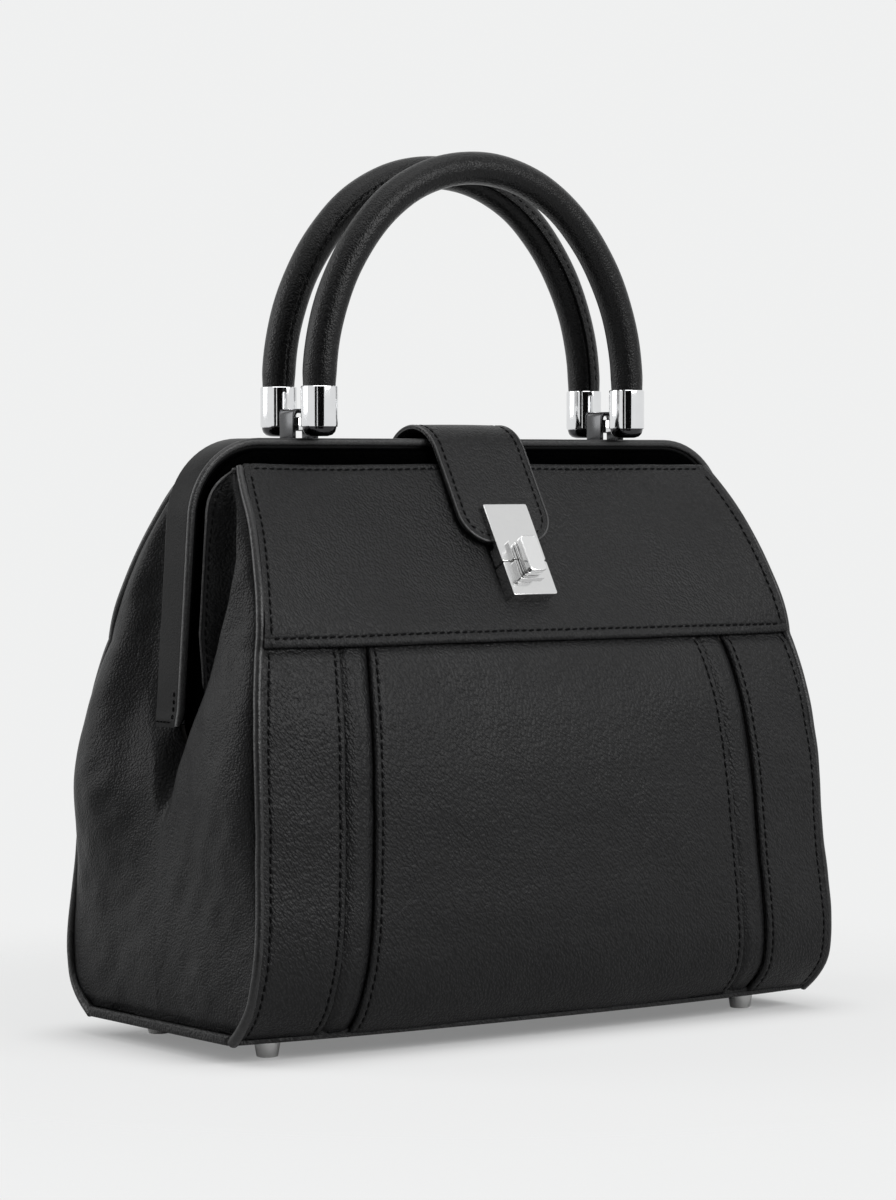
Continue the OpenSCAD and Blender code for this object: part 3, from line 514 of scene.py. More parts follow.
BODY = dict(grain=1200, broad=0.5, pores=0.4, wear=0.3)
calf = leather("calf", (0.0126, 0.0127, 0.0133), 0.42, pebble=1.0, spec=0.165, lay=0.9, **BODY)
gusset_calf = leather("gusset_calf", (0.0094, 0.0095, 0.0101), 0.38, pebble=0.7, spec=0.105, **BODY)
frame_calf = leather("frame_calf", (0.0045, 0.0046, 0.0049), 0.42, 1300, 0.2, 0.15, spec=0.075)
# Much paler leather for the rear frame's bead: a painted highlight on its rolled edge
bead_highlight_calf = leather("bead_highlight_calf", (0.044, 0.0442, 0.045), 0.36, 1300, 0.3, 0.15, wear=0.4, spec=0.3)
# Near-black leather without specular: painted shade on the frame pieces that sit down in the recess
recess_shade_calf = leather("recess_shade_calf", (0.0012, 0.0012, 0.0013), 0.8, pebble=0.3, wear=0.1, spec=0.0)
strap_calf = leather("strap_calf", (0.0118, 0.0119, 0.0125), 0.4, 1200, 1.0, 0.3, 0.4,
                     spec=0.19, lay=0.8)
handle_calf = leather("handle_calf", (0.0078, 0.0079, 0.0083), 0.32, 1300, 0.55, 0.3,
                      wear=0.4, spec=0.17)
# The binding's leather is paler than the body's: a painted highlight along the corner piping
binding_highlight_calf = leather("binding_highlight_calf", (0.019, 0.0191, 0.0197), 0.34, pebble=0.3, wear=0.6,
                       spec=0.32)
PAINT = dict(pebble=0.15, broad=0.2, pores=0.3, spec=0.4)
# Edge paint for the strap's bead, paler than the leather: partly real edge paint, partly a painted
# highlight on the arris
strap_rim_paint_and_highlight = leather("strap_rim_paint_and_highlight", (0.05, 0.05, 0.051), 0.36, **PAINT)
# Edge paint for the gussets' free edges, much paler than the leather: partly real edge paint,
# partly a painted highlight along the edge
gusset_rim_paint_and_highlight = leather("gusset_rim_paint_and_highlight", (0.12, 0.12, 0.121), 0.34, **PAINT)
thread = plain("thread", (0.0012, 0.0012, 0.0013), (0.0035, 0.0035, 0.0038), 0.7, 2600,
               0.00008, 0.6, spec=0.05)
lining_cloth = plain("lining_cloth", (0.03, 0.028, 0.027), (0.06, 0.056, 0.053), 0.8, 1500)
grey_board = plain("grey_board", (0.16, 0.13, 0.09), (0.24, 0.2, 0.15), 0.8, 700)
rope_fibre = plain("rope_fibre", (0.4, 0.33, 0.22), (0.55, 0.46, 0.32), 0.85, 1200, 0.0003, 0.7)
chrome = metal("chrome", (0.84, 0.845, 0.85), 0.07)
dark_chrome = metal("dark_chrome", (0.05, 0.05, 0.052), 0.12)
bracket_steel = metal("bracket_steel", (0.075, 0.076, 0.078), 0.22)
lock_chrome = metal("lock_chrome", (0.74, 0.74, 0.735), 0.16, 0.04, 0.015, 1500)
# The knob's chrome is paler than the lock plate's: a painted highlight on the knob's cap
knob_chrome_highlight = metal("knob_chrome_highlight", (0.83, 0.83, 0.825), 0.17, 0.04, 0.015, 1500)
brushed = metal("brushed", (0.86, 0.86, 0.85), 0.42, 0.08, 0.35, 700, (1, 1, 14))
inner_steel = metal("inner_steel", (0.5, 0.5, 0.51), 0.34, 0.1, 0.3)


def on_body(obj, body):
    """body is a CAD body, or "walls" for leather that bends between the bag and the front frame."""
    if body == "walls":
        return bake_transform(obj)
    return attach(obj, body)


def tucked(x, z):
    """Lift of the lower panels: they go in under the yoke and roll in to the base."""
    return -1.5 * ease((z - 150.6) / 4.5) - 1.1 * ease((11.0 - z) / 4) ** 2


def swollen(x, z):
    """Lift of the yoke, fullest just over its seam."""
    return 0.75 + 0.35 * bump_at(z, 160, 9)


FOLD, YOKE_STITCH, MOUTH_STITCH, RIM = 2.7, 3.5, 2.3, 4.9     # stitch lines, in from their edges
EDGE_IN, STRIP_W, OVERLAP = 1.9, 13, 0.6
WALL_LOW, PANEL_TOP, YOKE_LOW, YOKE_TOP = 7.5, 157.6, 154.5, 224.6
LIP_HALF, LIP_IN, LIP_RISE = 111, [0, 1, 2.4, 3.8, 5.2], [-1.2, -0.1, 0.2, 0.0, -0.4]
wall_rows = steps_of(92)


def wall_edge(z):
    return half_w(z) - EDGE_IN


def edges_of(sx, near, far):
    """Low and high edge of a sheet between near(z) and far(z) out from the middle."""
    return (near, far) if sx > 0 else (lambda z: -far(z), lambda z: -near(z))


for side, word, body in ((-1, "front", "walls"), (1, "back", "bag")):
    centre = panel(side, lambda z: -strip_x(z), strip_x, WALL_LOW, PANEL_TOP,
                   steps_of(96, (1, 1), (FOLD, FOLD)), wall_rows, tucked)
    obj = build(word + "_centre_leather", [centre], calf)
    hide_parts(word + "_centre_panel")
    on_body(obj, body)
    flanks, strips, threads = [], [], []
    for sx in (-1, 1):
        cols = steps_of(22, (1, 0)[::sx], (FOLD, RIM - EDGE_IN)[::sx])
        edges = edges_of(sx, lambda z: strip_x(z) + STRIP_W, wall_edge)
        flanks.append(panel(side, *edges, WALL_LOW, PANEL_TOP, cols, wall_rows, tucked))

        def padded(x, z, sx=sx, side=side):
            share = clamp((np.abs(x) - strip_x(z)) / STRIP_W)
            pad = np.sin(math.pi * share) ** 0.65
            dent = 0.35 * bump_at(share, 0.47 + 0.05 * np.sin(z / 19 + sx), 0.13)
            uneven = 0.1 * waves(x * 2, z, 30, 5 + side + 3 * sx)
            return -2.7 + 2.1 * pad - dent + uneven + tucked(x, z) * 0.6

        edges = edges_of(sx, lambda z: strip_x(z) - OVERLAP,
                         lambda z: strip_x(z) + STRIP_W + OVERLAP)
        strips.append(panel(side, *edges, WALL_LOW, PANEL_TOP - 0.5, steps_of(20), wall_rows,
                            padded, 0.9))
        z = np.linspace(10.5, 153.4, 73)
        for x in (strip_x(z) - FOLD, strip_x(z) + STRIP_W + FOLD, half_w(z) - RIM):
            threads.append(seam_on_wall(side, sx * x, z, tucked(x, z)))
    obj = build(word + "_side_leather", flanks, calf)
    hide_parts(word + "_side_panels")
    on_body(obj, body)
    obj = build(word + "_recessed_strips", strips, calf)
    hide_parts(word + "_strips")
    on_body(obj, body)
    on_body(build(word + "_wall_stitches", threads, thread), body)

    # Yoke: its lower edge is folded over the panels, and its upper edge turns in to the frame
    upper = "front_frame" if side < 0 else "bag"
    top = YOKE_TOP - (1.4 if side < 0 else 0)
    yoke = panel(side, lambda z: -wall_edge(z), wall_edge, YOKE_LOW, top,
                 steps_of(150, (0, 0), (RIM - EDGE_IN, RIM - EDGE_IN)),
                 steps_of(52, (1, 1), (YOKE_STITCH, MOUTH_STITCH), 1.25), swollen, 1.2)
    lip_x, lip_y = np.meshgrid(np.linspace(-LIP_HALF, LIP_HALF, 80),
                               side * (15.6 - np.array(LIP_IN)))
    lip_z = np.broadcast_to(top - 1.0 + np.array(LIP_RISE)[:, None], lip_x.shape)
    lip = shell(np.stack([lip_x, lip_y, lip_z], -1), 1.2, (0, 0, 1))
    obj = build(word + "_yoke_leather", [yoke, lip], calf)
    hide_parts(word + "_yoke")
    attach(obj, upper)
    low_x, top_x = np.linspace(-123.5, 123.5, 120), np.linspace(-109.5, 109.5, 110)
    threads = [seam_on_wall(side, low_x, YOKE_LOW + YOKE_STITCH, swollen(low_x, 158)),
               seam_on_wall(side, top_x, top - MOUTH_STITCH, swollen(top_x, 222))]
    for sx in (-1, 1):
        z = np.linspace(159.6, 218.4, 40)
        threads.append(seam_on_wall(side, sx * (half_w(z) - RIM), z, swollen(0, z)))
    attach(build(word + "_yoke_stitches", threads, thread), upper)

    # Binding along the two corner edges, in paler leather as a painted highlight
    tubes = []
    for sx in (-1, 1):
        z = np.concatenate([np.linspace(8.4, 16, 10), np.linspace(17.5, top - 1.6, 150)])
        fat = (1.65 + 0.45 * ease((26 - z) / 20))[:, None]
        px = half_w(z) - 1.25 + 0.12 * waves(z, 0 * z, 22, 60 + sx)
        path = np.stack([sx * px, side * (edge_depth(z) - 1.2), z], -1)
        along = unit(np.gradient(path, axis=0))
        across = unit(np.cross(along, (0, 1, 0)))
        tubes.append(tube(path, 1.08 * fat * across, fat * np.cross(along, across), 1, 18))
    obj = build(word + "_corner_binding", tubes, binding_highlight_calf)
    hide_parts("corner_piping")
    on_body(obj, body)


# ---- base
def around(z, out):
    """Outline of the body at a height, moved out, with rounded corners."""
    w, d = float(half_w(z)) + out, float(edge_depth(z)) + out
    x = np.linspace(-w, w, 120)
    front = np.stack([x, -(wall_depth(x, z) + out)], -1)
    side = np.stack([np.full(50, w), np.linspace(-d, d, 50)], -1)
    loop = np.concatenate([front, side, -front, -side])
    loop = loop[np.linalg.norm(np.abs(loop) - [w, d], axis=1) > 1.6]
    line = resample(np.concatenate([loop, loop[:1]]), 1040)[0][:-1]
    for _ in range(5):
        line = 0.5 * line + 0.25 * (np.roll(line, 1, 0) + np.roll(line, -1, 0))
    return line[::3]


def band(z, out, section):
    """The rolled edge round the base."""
    line = around(z, out)
    t = np.roll(line, -1, 0) - np.roll(line, 1, 0)
    n = unit(np.stack([t[:, 1], -t[:, 0]], -1))
    line = line - n * 2.3 * n[:, 1:] ** 2
    return sweep([[(p[0] + q[0] * s[0], p[1] + q[1] * s[0], z + s[1]) for s in section]
                  for p, q in zip(line, n)], True)


def floor(line, steps):
    """Rows of a floor inside an outline: its size and height at each step."""
    return np.stack([np.concatenate([line * k, np.full((len(line), 1), h)], 1) for k, h in steps])


rows = floor(around(9.5, -0.4), ((1.0, 7.9), (0.985, 7.8), (0.95, 8.2), (0.8, 8.35), (0.5, 8.4),
                                 (0.2, 8.4), (0.01, 8.4)))
obj = build("base_leather", [shell(rows, 1.4, (0, 0, -1)),
                             band(9.4, -0.1, round_rect(2.6, 4.1, 1.1, 4))], calf, 50)
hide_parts("base_panel")
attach(obj, "bag")

FOOT = [(0.02, 0.0), (3.6, 0.0), (3.95, 0.12), (4.15, 0.5), (5.1, 6.3), (5.25, 7.2), (5.1, 7.8),
        (3.5, 8.6), (0.02, 8.6)]
FOOT_X, FOOT_Y = 116.3, 38.6
feet = [lathe(FOOT, (sx * FOOT_X, sy * FOOT_Y, 0)) for sx in (-1, 1) for sy in (-1, 1)]
obj = build("turned_feet", feet, brushed)
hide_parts("feet")
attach(obj, "bag")


# ---- gussets
# By height: where the ridge between valley and arm lies, and how deep or full the leather is.
# These, and the numbers in gusset_skin, were fitted to the photo.
RIDGE = [(84, 1.0), (100, 5.0), (110, 8.0), (120, 13.5), (130, 20.0), (141, 24.5), (153, 27.5),
         (166, 30.8), (183, 33.2), (196, 30.2), (206, 25.6), (216, 18.5), (224, 12.5)]
SAG = [(112, 0.0), (124, 3.0), (138, 8.5), (150, 11.0), (178, 12.0), (195, 11.0), (207, 8.5),
       (215, 4.5), (224, 0.5)]
BROW = [(60, 0.0), (100, 0.4), (140, 0.7), (165, 1.0), (185, 2.0), (200, 1.8), (212, 1.2),
        (224, 0.3)]
SAG_BEHIND = [(98, 0.0), (118, 2.5), (150, 6.5), (185, 6.5), (205, 3.5), (222, 0.5)]
VALLEY = [(80, 0.0), (88, 0.7), (100, 6.5), (112, 12.0), (124, 13.0), (134, 9.0), (146, 3.0),
          (158, 0.0)]
BILLOW = [(10, 0.0), (30, 1.0), (52, 2.8), (66, 5.6), (80, 8.8), (95, 11.3), (110, 11.2),
          (125, 9.6), (148, 6.4), (162, 4.4), (185, 3.6), (205, 2.2), (220, 0.4)]
BASE_LOW, CORNER_X_IN, CORNER_Y_IN = 11.4, 1.6, 1.5
STITCH_TOP, RIM_TOP, BACK_TOP = 219.4, 221.1, 222.5


def front_end(z):
    """How far in front of the frame's middle the gusset's front part ends."""
    return 10.9 * ease((z - 100) / 45)


def gusset_skin(sx, front, z, v, sunk=0.0):
    """v runs from the corner binding (0) to the inner end (1): low down a valley, above an arm."""
    corner_x, corner_y = half_w(z) - CORNER_X_IN, edge_depth(z) - CORNER_Y_IN
    middle = half_w(z) - 0.6 + 2.4 * ease((z - 14) / 25) * (1 - ease((z - 80) / 40))
    if front:
        z = z - 12 * (1 - np.sqrt(1 - clamp((v - 0.35) / 0.65) ** 2)) * ease((z - 188) / 32)
    above = np.maximum(z, 120)
    if front:
        end_y, end_x = front_end(z), mix(middle, face_x(above, 6.4, 5.2), ease((z - 126) / 24))
    else:
        end_y = 8.9 * ease((z - 104) / 24)
        end_x = mix(middle, face_x(above, 4.2, 4.2), ease((z - 116) / 18))
    y, x = mix(corner_y, end_y, v), mix(corner_x, end_x, v)
    away, span = corner_y - y, corner_y - end_y
    seed = (3 if front else 9) + (0 if sx < 0 else 40)
    ridge, billow = curve(z, RIDGE), curve(z, BILLOW)
    out = -curve(z, VALLEY) * (1 - ease(y / (ridge + 3)))
    if front:
        inner = (y - end_y) / np.maximum(ridge - end_y, 3)
        out = out - curve(z, SAG) * ease(inner / 0.55) * (1 - ease((inner - 0.84) / 0.2))
        out = out + 0.5 * billow * (1 - np.exp(-away / 6)) * (1 - ease((away / span - 0.4) / 0.6))
        out = out + curve(z, BROW) * (1 - np.exp(-away / 1.8)) * ease(inner / 0.6)
    else:
        out = out + billow * (1 - np.exp(-away / 4.5)) * (1 - ease((away / span - 0.3) / 0.7))
        out = out - (curve(z, SAG_BEHIND) * ease((v - 0.28) / 0.42)
                     * (1 - 0.9 * ease((v - 0.84) / 0.16)))
    uneven = 0.7 * waves(y, z * 0.7, 46, seed) + 0.25 * waves(y, z, 17, seed + 1)
    out = out + uneven * np.sin(math.pi * v) ** 0.6
    out = out - 0.9 * bump_at(away, 0.0, 1.4) * ease((z - 10) / 4)
    out = out - 0.9 * (1 - ease((z - 12.5) / 3))
    return np.stack([sx * (x + out - sunk), (-1 if front else 1) * y, z], -1)


for sx, word in ((-1, "left"), (1, "right")):
    parts = []
    for front, top in ((True, 221.3), (False, BACK_TOP)):
        z = np.concatenate([np.linspace(BASE_LOW, 100, 64), np.linspace(101.4, top, 90)])
        v = np.concatenate([[0, 0.012, 0.026, 0.042], np.linspace(0.06, 0.94, 60), [0.96, 0.98, 1]])
        zz, vv = np.meshgrid(z, v, indexing="ij")
        parts.append(shell(gusset_skin(sx, front, zz, vv), 1.1, (sx, 0, 0)))
    obj = build(word + "_gusset_front", parts[:1], gusset_calf)
    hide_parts(word + "_gusset", "front_gusset_flaps")
    on_body(obj, "walls")
    obj = build(word + "_gusset_back", parts[1:], gusset_calf)
    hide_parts(word + "_gusset")
    on_body(obj, "bag")
    z = np.linspace(140, STITCH_TOP, 90)
    line = gusset_skin(sx, True, z, 1 - EDGE_IN / (edge_depth(z) - CORNER_Y_IN - front_end(z)))
    line = np.concatenate([line, gusset_skin(sx, True, np.full(24, STITCH_TOP),
                                             np.linspace(0.95, 0.1, 24))])
    seam = stitches(line, np.tile([sx, -0.2, 0.0], (len(line), 1)), pitch=3.5, r=0.45)
    obj = build(word + "_gusset_stitches", [seam], thread)
    on_body(obj, "walls")
    # The rounded free edge, up behind the arm and back along the mouth, in pale edge paint that is
    # partly a painted highlight
    z = np.linspace(134, RIM_TOP, 90)
    rim = np.concatenate([gusset_skin(sx, True, z, np.full(90, 1.0)),
                          gusset_skin(sx, True, np.full(30, RIM_TOP), np.linspace(0.99, 0.06, 30))])
    along = unit(np.gradient(rim, axis=0))
    flat = unit(np.cross(along, [sx, 0, 0]))
    bead = tube(rim, flat, np.cross(flat, along), 0.5)
    on_body(build(word + "_gusset_rim", [bead], gusset_rim_paint_and_highlight), "walls")


# ---- frame halves
CORNER_STEPS = 16


def arch_line(side, top, low):
    """Outline of an arch in (x, z), over the top from foot to foot, with inward directions.

    side and top are how far it lies inside the frame's outline.
    """
    r = max(4.4, ARCH_R - max(side, top))
    foot = np.array([side - float(arm_x(low)), low])
    a = np.array([side - float(arm_x(195)), 195.0])
    b = a + (a - [side - float(arm_x(188)), 188.0]) * (TOP - top - 195) / 7
    u, v = (a - b) / np.linalg.norm(a - b), np.array([1.0, 0.0])
    half = math.acos(u @ v) / 2
    centre = b + (u + v) / np.linalg.norm(u + v) * r / math.sin(half)
    p, q = b + u * r / math.tan(half), b + v * r / math.tan(half)
    a0 = math.atan2(*(p - centre)[::-1])
    a1 = math.atan2(*(q - centre)[::-1])
    turn = (a1 - a0 + 3 * math.pi) % (2 * math.pi) - math.pi
    arc = [centre + r * np.array([math.cos(a0 + turn * i / CORNER_STEPS),
                                  math.sin(a0 + turn * i / CORNER_STEPS)])
           for i in range(CORNER_STEPS + 1)]
    rise = foot[1] + (p[1] - foot[1]) * np.linspace(0, 1, 44)[:-1]
    gap = (p[0] - (side - float(arm_x(p[1])))) * ease((rise - 150) / 45)
    stem = [np.array([side - float(arm_x(h)) + g, h]) for h, g in zip(rise, gap)]
    middle = [mix(q, np.array([0, TOP - top]), t) for t in np.linspace(0, 1, 34)[1:]]
    left = np.array(stem + arc + middle)
    line = np.concatenate([left, (left * [-1, 1])[-2::-1]])
    t = unit(np.gradient(line, axis=0))
    return line, np.stack([t[:, 1], -t[:, 0]], -1)


def arch_sweep(side, top, low, t, depth, y, r, flare=0.0):
    """Arch t thick and depth deep around y, with arrises of radius r and slightly flared feet."""
    line, inward = arch_line(side, top, low)
    section = round_rect(t, depth, r, 6)
    rings = []
    for i, (p, n) in enumerate(zip(line, inward)):
        near = min(i, len(line) - 1 - i)
        ends = 1 - ease(near / 3)
        squeeze = {0: 0.45, 1: 0.85}.get(near, 1.0)
        wob = 0.036 * math.sin(i * 0.7) * math.sin(i * 0.23)
        lift = flare * (1 - near / 4) ** 2 if near < 4 else 0.0
        rings.append([(p[0] + n[0] * (t / 2 + s[0] * squeeze - lift),
                       y + s[1] * (1 - 0.1 * ends) + wob,
                       p[1] + n[1] * (t / 2 + s[0] * squeeze)) for s in section])
    return sweep(rings)


part = arch_sweep(0, 0, ARM_LOW, 4.4, 16, 0, 1.2, 1.6)
obj = build("rear_frame_leather", [part], frame_calf, 50)
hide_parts("rear_frame_cover")
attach(obj, "bag")
# The front frame sits in the recess, in near-black leather as painted shade
part = arch_sweep(7.4, 4.8, ARM_LOW + 0.5, 4.0, 9.6, -5.8, 1.7)
obj = build("front_frame_leather", [part], recess_shade_calf, 50)
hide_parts("front_frame_cover")
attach(obj, "front_frame")
# The bead along the rear frame's front edge, in paler leather as a painted highlight
part = arch_sweep(-0.15, -0.15, ARM_LOW + 0.6, 3.0, 2.6, -8.1, 1.2, 1.6)
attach(build("rear_frame_bead", [part], bead_highlight_calf, 50), "bag")
# The rear frame's facing, in the same near-black leather of painted shade
part = arch_sweep(3.5, 3.5, ARM_LOW + 0.8, 3.2, 15.0, 0.1, 0.6)
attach(build("rear_frame_facing", [part], recess_shade_calf, 50), "bag")
# Leather that closes each half against its yoke and gussets, in near-black leather as painted shade
part = arch_sweep(3.6, 3.6, 131, 6.5, 1.4, 6.6, 0.5)
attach(build("rear_frame_web", [part], recess_shade_calf, 50), "bag")
part = arch_sweep(9.4, 6.8, 146, 5.0, 1.4, -9.9, 0.5)
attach(build("front_frame_web", [part], recess_shade_calf, 50), "front_frame")


def arm_face(h):
    return float(arm_x(h)) + 0.4 + 1.5 * (1 - clamp((h - ARM_LOW) / 9)) ** 2


# The L of stitches at each arm's end
rows = []
for sx in (-1, 1):
    for path in ([(y, 125.0) for y in np.linspace(6.2, -3.8, 7)],
                 [(-5.0, h) for h in np.linspace(125.8, 137, 9)]):
        line = np.array([(sx * arm_face(h), y, h) for y, h in path])
        rows.append(stitches(line, np.tile([sx, 0, 0.0], (len(line), 1)), 2.6, 1.8, 0.34))
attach(build("arm_end_stitches", rows, thread), "bag")


# ---- handles
CAP_LOW, CAP_TOP, HANDLE_TOP = TOP + 1.3, TOP + 20.5, 346.9
HALF_SPAN, CROWN_R, HANDLE_R = 75.7, 68.0, 6.65
rise = HANDLE_TOP - HANDLE_R - CAP_TOP
side_r = (HALF_SPAN**2 + (rise - CROWN_R) ** 2 - CROWN_R**2) / (2 * (HALF_SPAN - CROWN_R))
side_angle = math.atan2(rise - CROWN_R, side_r - HALF_SPAN)


def handle_line():
    foot = [(HALF_SPAN, z) for z in (CAP_LOW + 6, CAP_LOW + 12, CAP_TOP - 3, CAP_TOP - 0.5)]
    arm = [(HALF_SPAN - side_r + side_r * math.cos(a), CAP_TOP + side_r * math.sin(a))
           for a in np.linspace(0, side_angle, 44)]
    crown = [(CROWN_R * math.cos(a), CAP_TOP + rise - CROWN_R + CROWN_R * math.sin(a))
             for a in np.linspace(side_angle, math.pi - side_angle, 64)[1:]]
    right = np.array(foot + arm)
    return np.concatenate([right, np.array(crown), (right * [-1, 1])[-2::-1]])


SEAM_BACK = 0.36  # the seam, in radians back from the overlap


def handle(facing, y):
    """Rolled leather with an overlapped, stitched edge on the side that faces the other handle."""
    line, _ = resample(handle_line(), 240)
    t = unit(np.gradient(line, axis=0))
    out = np.stack([t[:, 1], -t[:, 0]], -1)
    lap = math.radians(102)
    turn = np.concatenate([np.linspace(0, lap - 0.09, 26), [lap - 0.03, lap, lap + 0.03],
                           np.linspace(lap + 0.1, 2 * math.pi, 52)[:-1]])
    d = turn - lap
    step = np.where(d <= 0.001, 0.55 * np.exp(-np.maximum(0, -d) / 0.5),
                    -0.55 * np.exp(-np.maximum(0, d) / 0.55))
    relief = step - 0.25 * np.exp(-((d + SEAM_BACK) / 0.07) ** 2) - 0.10 * np.cos(2 * turn)
    above = ease((line[:, 1] - CAP_TOP + 1) / 7)
    rings, seam, away = [], [], []
    for i, (p, n) in enumerate(zip(line, out)):
        uneven = 0.07 * math.sin(i * 0.21) * math.sin(i * 0.083 + 1)
        radius = HANDLE_R * (0.96 + 0.04 * above[i]) + uneven
        rr = radius + relief
        rings.append(np.stack([p[0] + n[0] * rr * np.cos(turn), y + facing * rr * np.sin(turn),
                               p[1] + n[1] * rr * np.cos(turn)], -1))
        if above[i] > 0.6:
            a = lap - SEAM_BACK
            away.append((n[0] * math.cos(a), facing * math.sin(a), n[1] * math.cos(a)))
            seam.append(np.array([p[0], y, p[1]]) + np.array(away[-1]) * (radius + 0.22))
    roll = sweep(np.array(rings))
    return roll, stitches(np.array(seam), np.array(away), pitch=4.0, long=2.7, r=0.38)


DOME = [(0.02, -0.5), (3.2, -0.45), (5.0, 0.1), (6.1, 1.2), (6.55, 2.5), (6.6, 3.6), (0.02, 3.7)]
CAP = [(0.02, 3.0), (6.3, 3.0), (6.85, 3.1), (7.12, 3.35), (7.2, 3.8), (7.2, 18.2), (7.12, 18.7),
       (6.9, 18.95), (6.5, 19.0), (6.25, 18.6), (6.2, 17.0), (0.02, 16.5)]
HANDLE_Y, LUG_R, LUG_T, LUG_TOP, LUG_GAP = 14.2, 2.78, 4.2, 10.6, 0.12
for word, facing in (("front", 1), ("back", -1)):
    y = -facing * HANDLE_Y
    body = word + "_handle"
    roll, seam = handle(facing, y)
    obj = build(body + "_leather", [roll], handle_calf, 45)
    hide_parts(body + "_roll")
    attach(obj, body)
    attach(build(body + "_stitches", [seam], thread), body)
    caps, domes = [], []
    for sx in (-1, 1):
        caps.append(lathe(CAP, (sx * HALF_SPAN, y, CAP_LOW), 72))
        domes.append(lathe(DOME, (sx * HALF_SPAN, y, CAP_LOW), 72))
        # A lug on the pivot pin, beside the other handle's lug
        shape = [(-LUG_R * math.cos(a), LUG_R * math.sin(a))
                 for a in np.radians(np.arange(-90, 91, 15))]
        shape += [(LUG_TOP, LUG_R * 0.9), (LUG_TOP, -LUG_R * 0.9)]
        caps.append(moved(prism(shape, LUG_GAP, LUG_GAP + LUG_T, 0.35),
                          Matrix(((0, 0, -facing, sx * HALF_SPAN), (-facing, 0, 0, 0),
                                  (0, 1, 0, PIVOT), (0, 0, 0, 1)))))
    obj = build(body + "_end_caps", caps, chrome, 30)
    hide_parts(body + "_caps")
    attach(obj, body)
    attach(build(body + "_cap_domes", domes, dark_chrome, 30), body)

# Brackets: a bent strap with soft arrises, from its outer line and its inner line back again
BRACKET_HALF, BRACKET_H, BRACKET_T, BRACKET_W = 6, 11.5, 1.6, 9.3
shape = []
for inset, r in ((0, 2.6), (BRACKET_T, 1.2)):
    half, top = BRACKET_HALF - inset, BRACKET_H - inset
    right = [(half, -0.2)] + [(half - r + r * math.cos(a), top - r + r * math.sin(a))
                              for a in np.radians(np.arange(0, 91, 15))]
    whole = right + [(-px, pz) for px, pz in right[::-1]]
    shape += whole[::-1] if inset else whole
parts = [moved(prism(shape, -BRACKET_W / 2, BRACKET_W / 2, 0.3),
               Matrix(((1, 0, 0, sx * HALF_SPAN), (0, 0, -1, 0), (0, 1, 0, TOP), (0, 0, 0, 1))))
         for sx in (-1, 1)]
obj = build("bent_brackets", parts, bracket_steel, 30)
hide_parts("brackets")
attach(obj, "bag")
turn = np.arange(32) / 32 * 2 * math.pi
pins = [sweep([[(sx * HALF_SPAN + x, r * math.cos(a), PIVOT + r * math.sin(a)) for a in turn]
               for x, r in ((-5.6, 1.3), (-5.4, 1.5), (5.4, 1.5), (5.6, 1.3))]) for sx in (-1, 1)]
obj = build("handle_pins", pins, chrome, 30)
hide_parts("pivot_pins")
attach(obj, "bag")


# ---- strap
LEAN = math.atan2(41.5, 70.2)  # how far the yokes lean from upright
BEND_R, STRAP_T, STRAP_HALF = 17.41, 3.0, 22
APEX = MOUTH + 14.9 / math.tan(LEAN) + 2.3 / math.sin(LEAN)
BEND_Z = APEX - BEND_R / math.sin(LEAN)
ARC = BEND_R * (math.pi / 2 - LEAN)
FRONT_LEN, REAR_LEN = ARC + 42.8, ARC + 34
SEAM_IN, PUCKER = 3.3, 3.6  # the seam, in from the edge, and its puckers' pitch


def strap_at(s):
    """Middle of the strap and its outward direction, s along it: 0 at the top, front positive."""
    s = np.asarray(s, float)
    a = np.clip(s / BEND_R, -(math.pi / 2 - LEAN), math.pi / 2 - LEAN)
    extra = np.sign(s) * np.maximum(0, np.abs(s) - ARC)
    y = -BEND_R * np.sin(a) - extra * math.sin(LEAN)
    z = BEND_Z + BEND_R * np.cos(a) - np.abs(extra) * math.cos(LEAN)
    return np.stack([0 * y, y, z], -1), np.stack([0 * a, -np.sin(a), np.cos(a)], -1)


def strap_half(s, inset=0.0):
    """Half the strap's width at s, this far in from its edge, with round corners."""
    radius = np.where(s > 0, 13.5, 9.0)
    d, r = np.minimum(s + REAR_LEN, FRONT_LEN - s) - inset, radius - inset
    return STRAP_HALF - radius + np.sqrt(np.maximum(0, r * r - np.maximum(0, r - d) ** 2))


def sideways(x):
    return np.asarray(x, float)[..., None] * [1, 0, 0]


END_STEPS = np.array([0, 0.25, 0.7, 1.4, 2.2, 3.2, 4.5, 6, 7.5, 9])
s = np.concatenate([END_STEPS - REAR_LEN, np.linspace(10.5 - REAR_LEN, FRONT_LEN - 10.5, 126),
                    FRONT_LEN - END_STEPS[::-1]])
near = np.minimum(s + REAR_LEN, FRONT_LEN - s)
thick = STRAP_T * np.sqrt(clamp(1 - (1 - np.minimum(near + 0.35, 1.5) / 1.5) ** 2))
EDGE_STEPS = [0, 0.15, 0.4, 0.8, 1.4, 2, 2.6, 2.95, 3.3, 3.65, 4, 4.5, 5.2, 6.2, 8, 11, 15, 18.5]
upper = 1 - np.array(EDGE_STEPS) / STRAP_HALF
upper = np.concatenate([-upper, [0], upper[::-1]])
c = np.concatenate([upper, np.linspace(1, -1, 15)[1:-1]])
w, s, near, thick = strap_half(s)[:, None], s[:, None], near[:, None], thick[:, None]
inset = w * (1 - np.abs(c))
rim = thick / 2 * np.sqrt(np.maximum(0, 1 - (1 - np.minimum(inset, 1.4) / 1.4) ** 2))
d = np.minimum(inset, near)
groove = 0.34 * np.exp(-((d - SEAM_IN) / 0.5) ** 2)
pucker = 0.12 * np.cos(2 * math.pi * s / PUCKER) * np.exp(-((d - SEAM_IN - 1) / 0.7) ** 2)
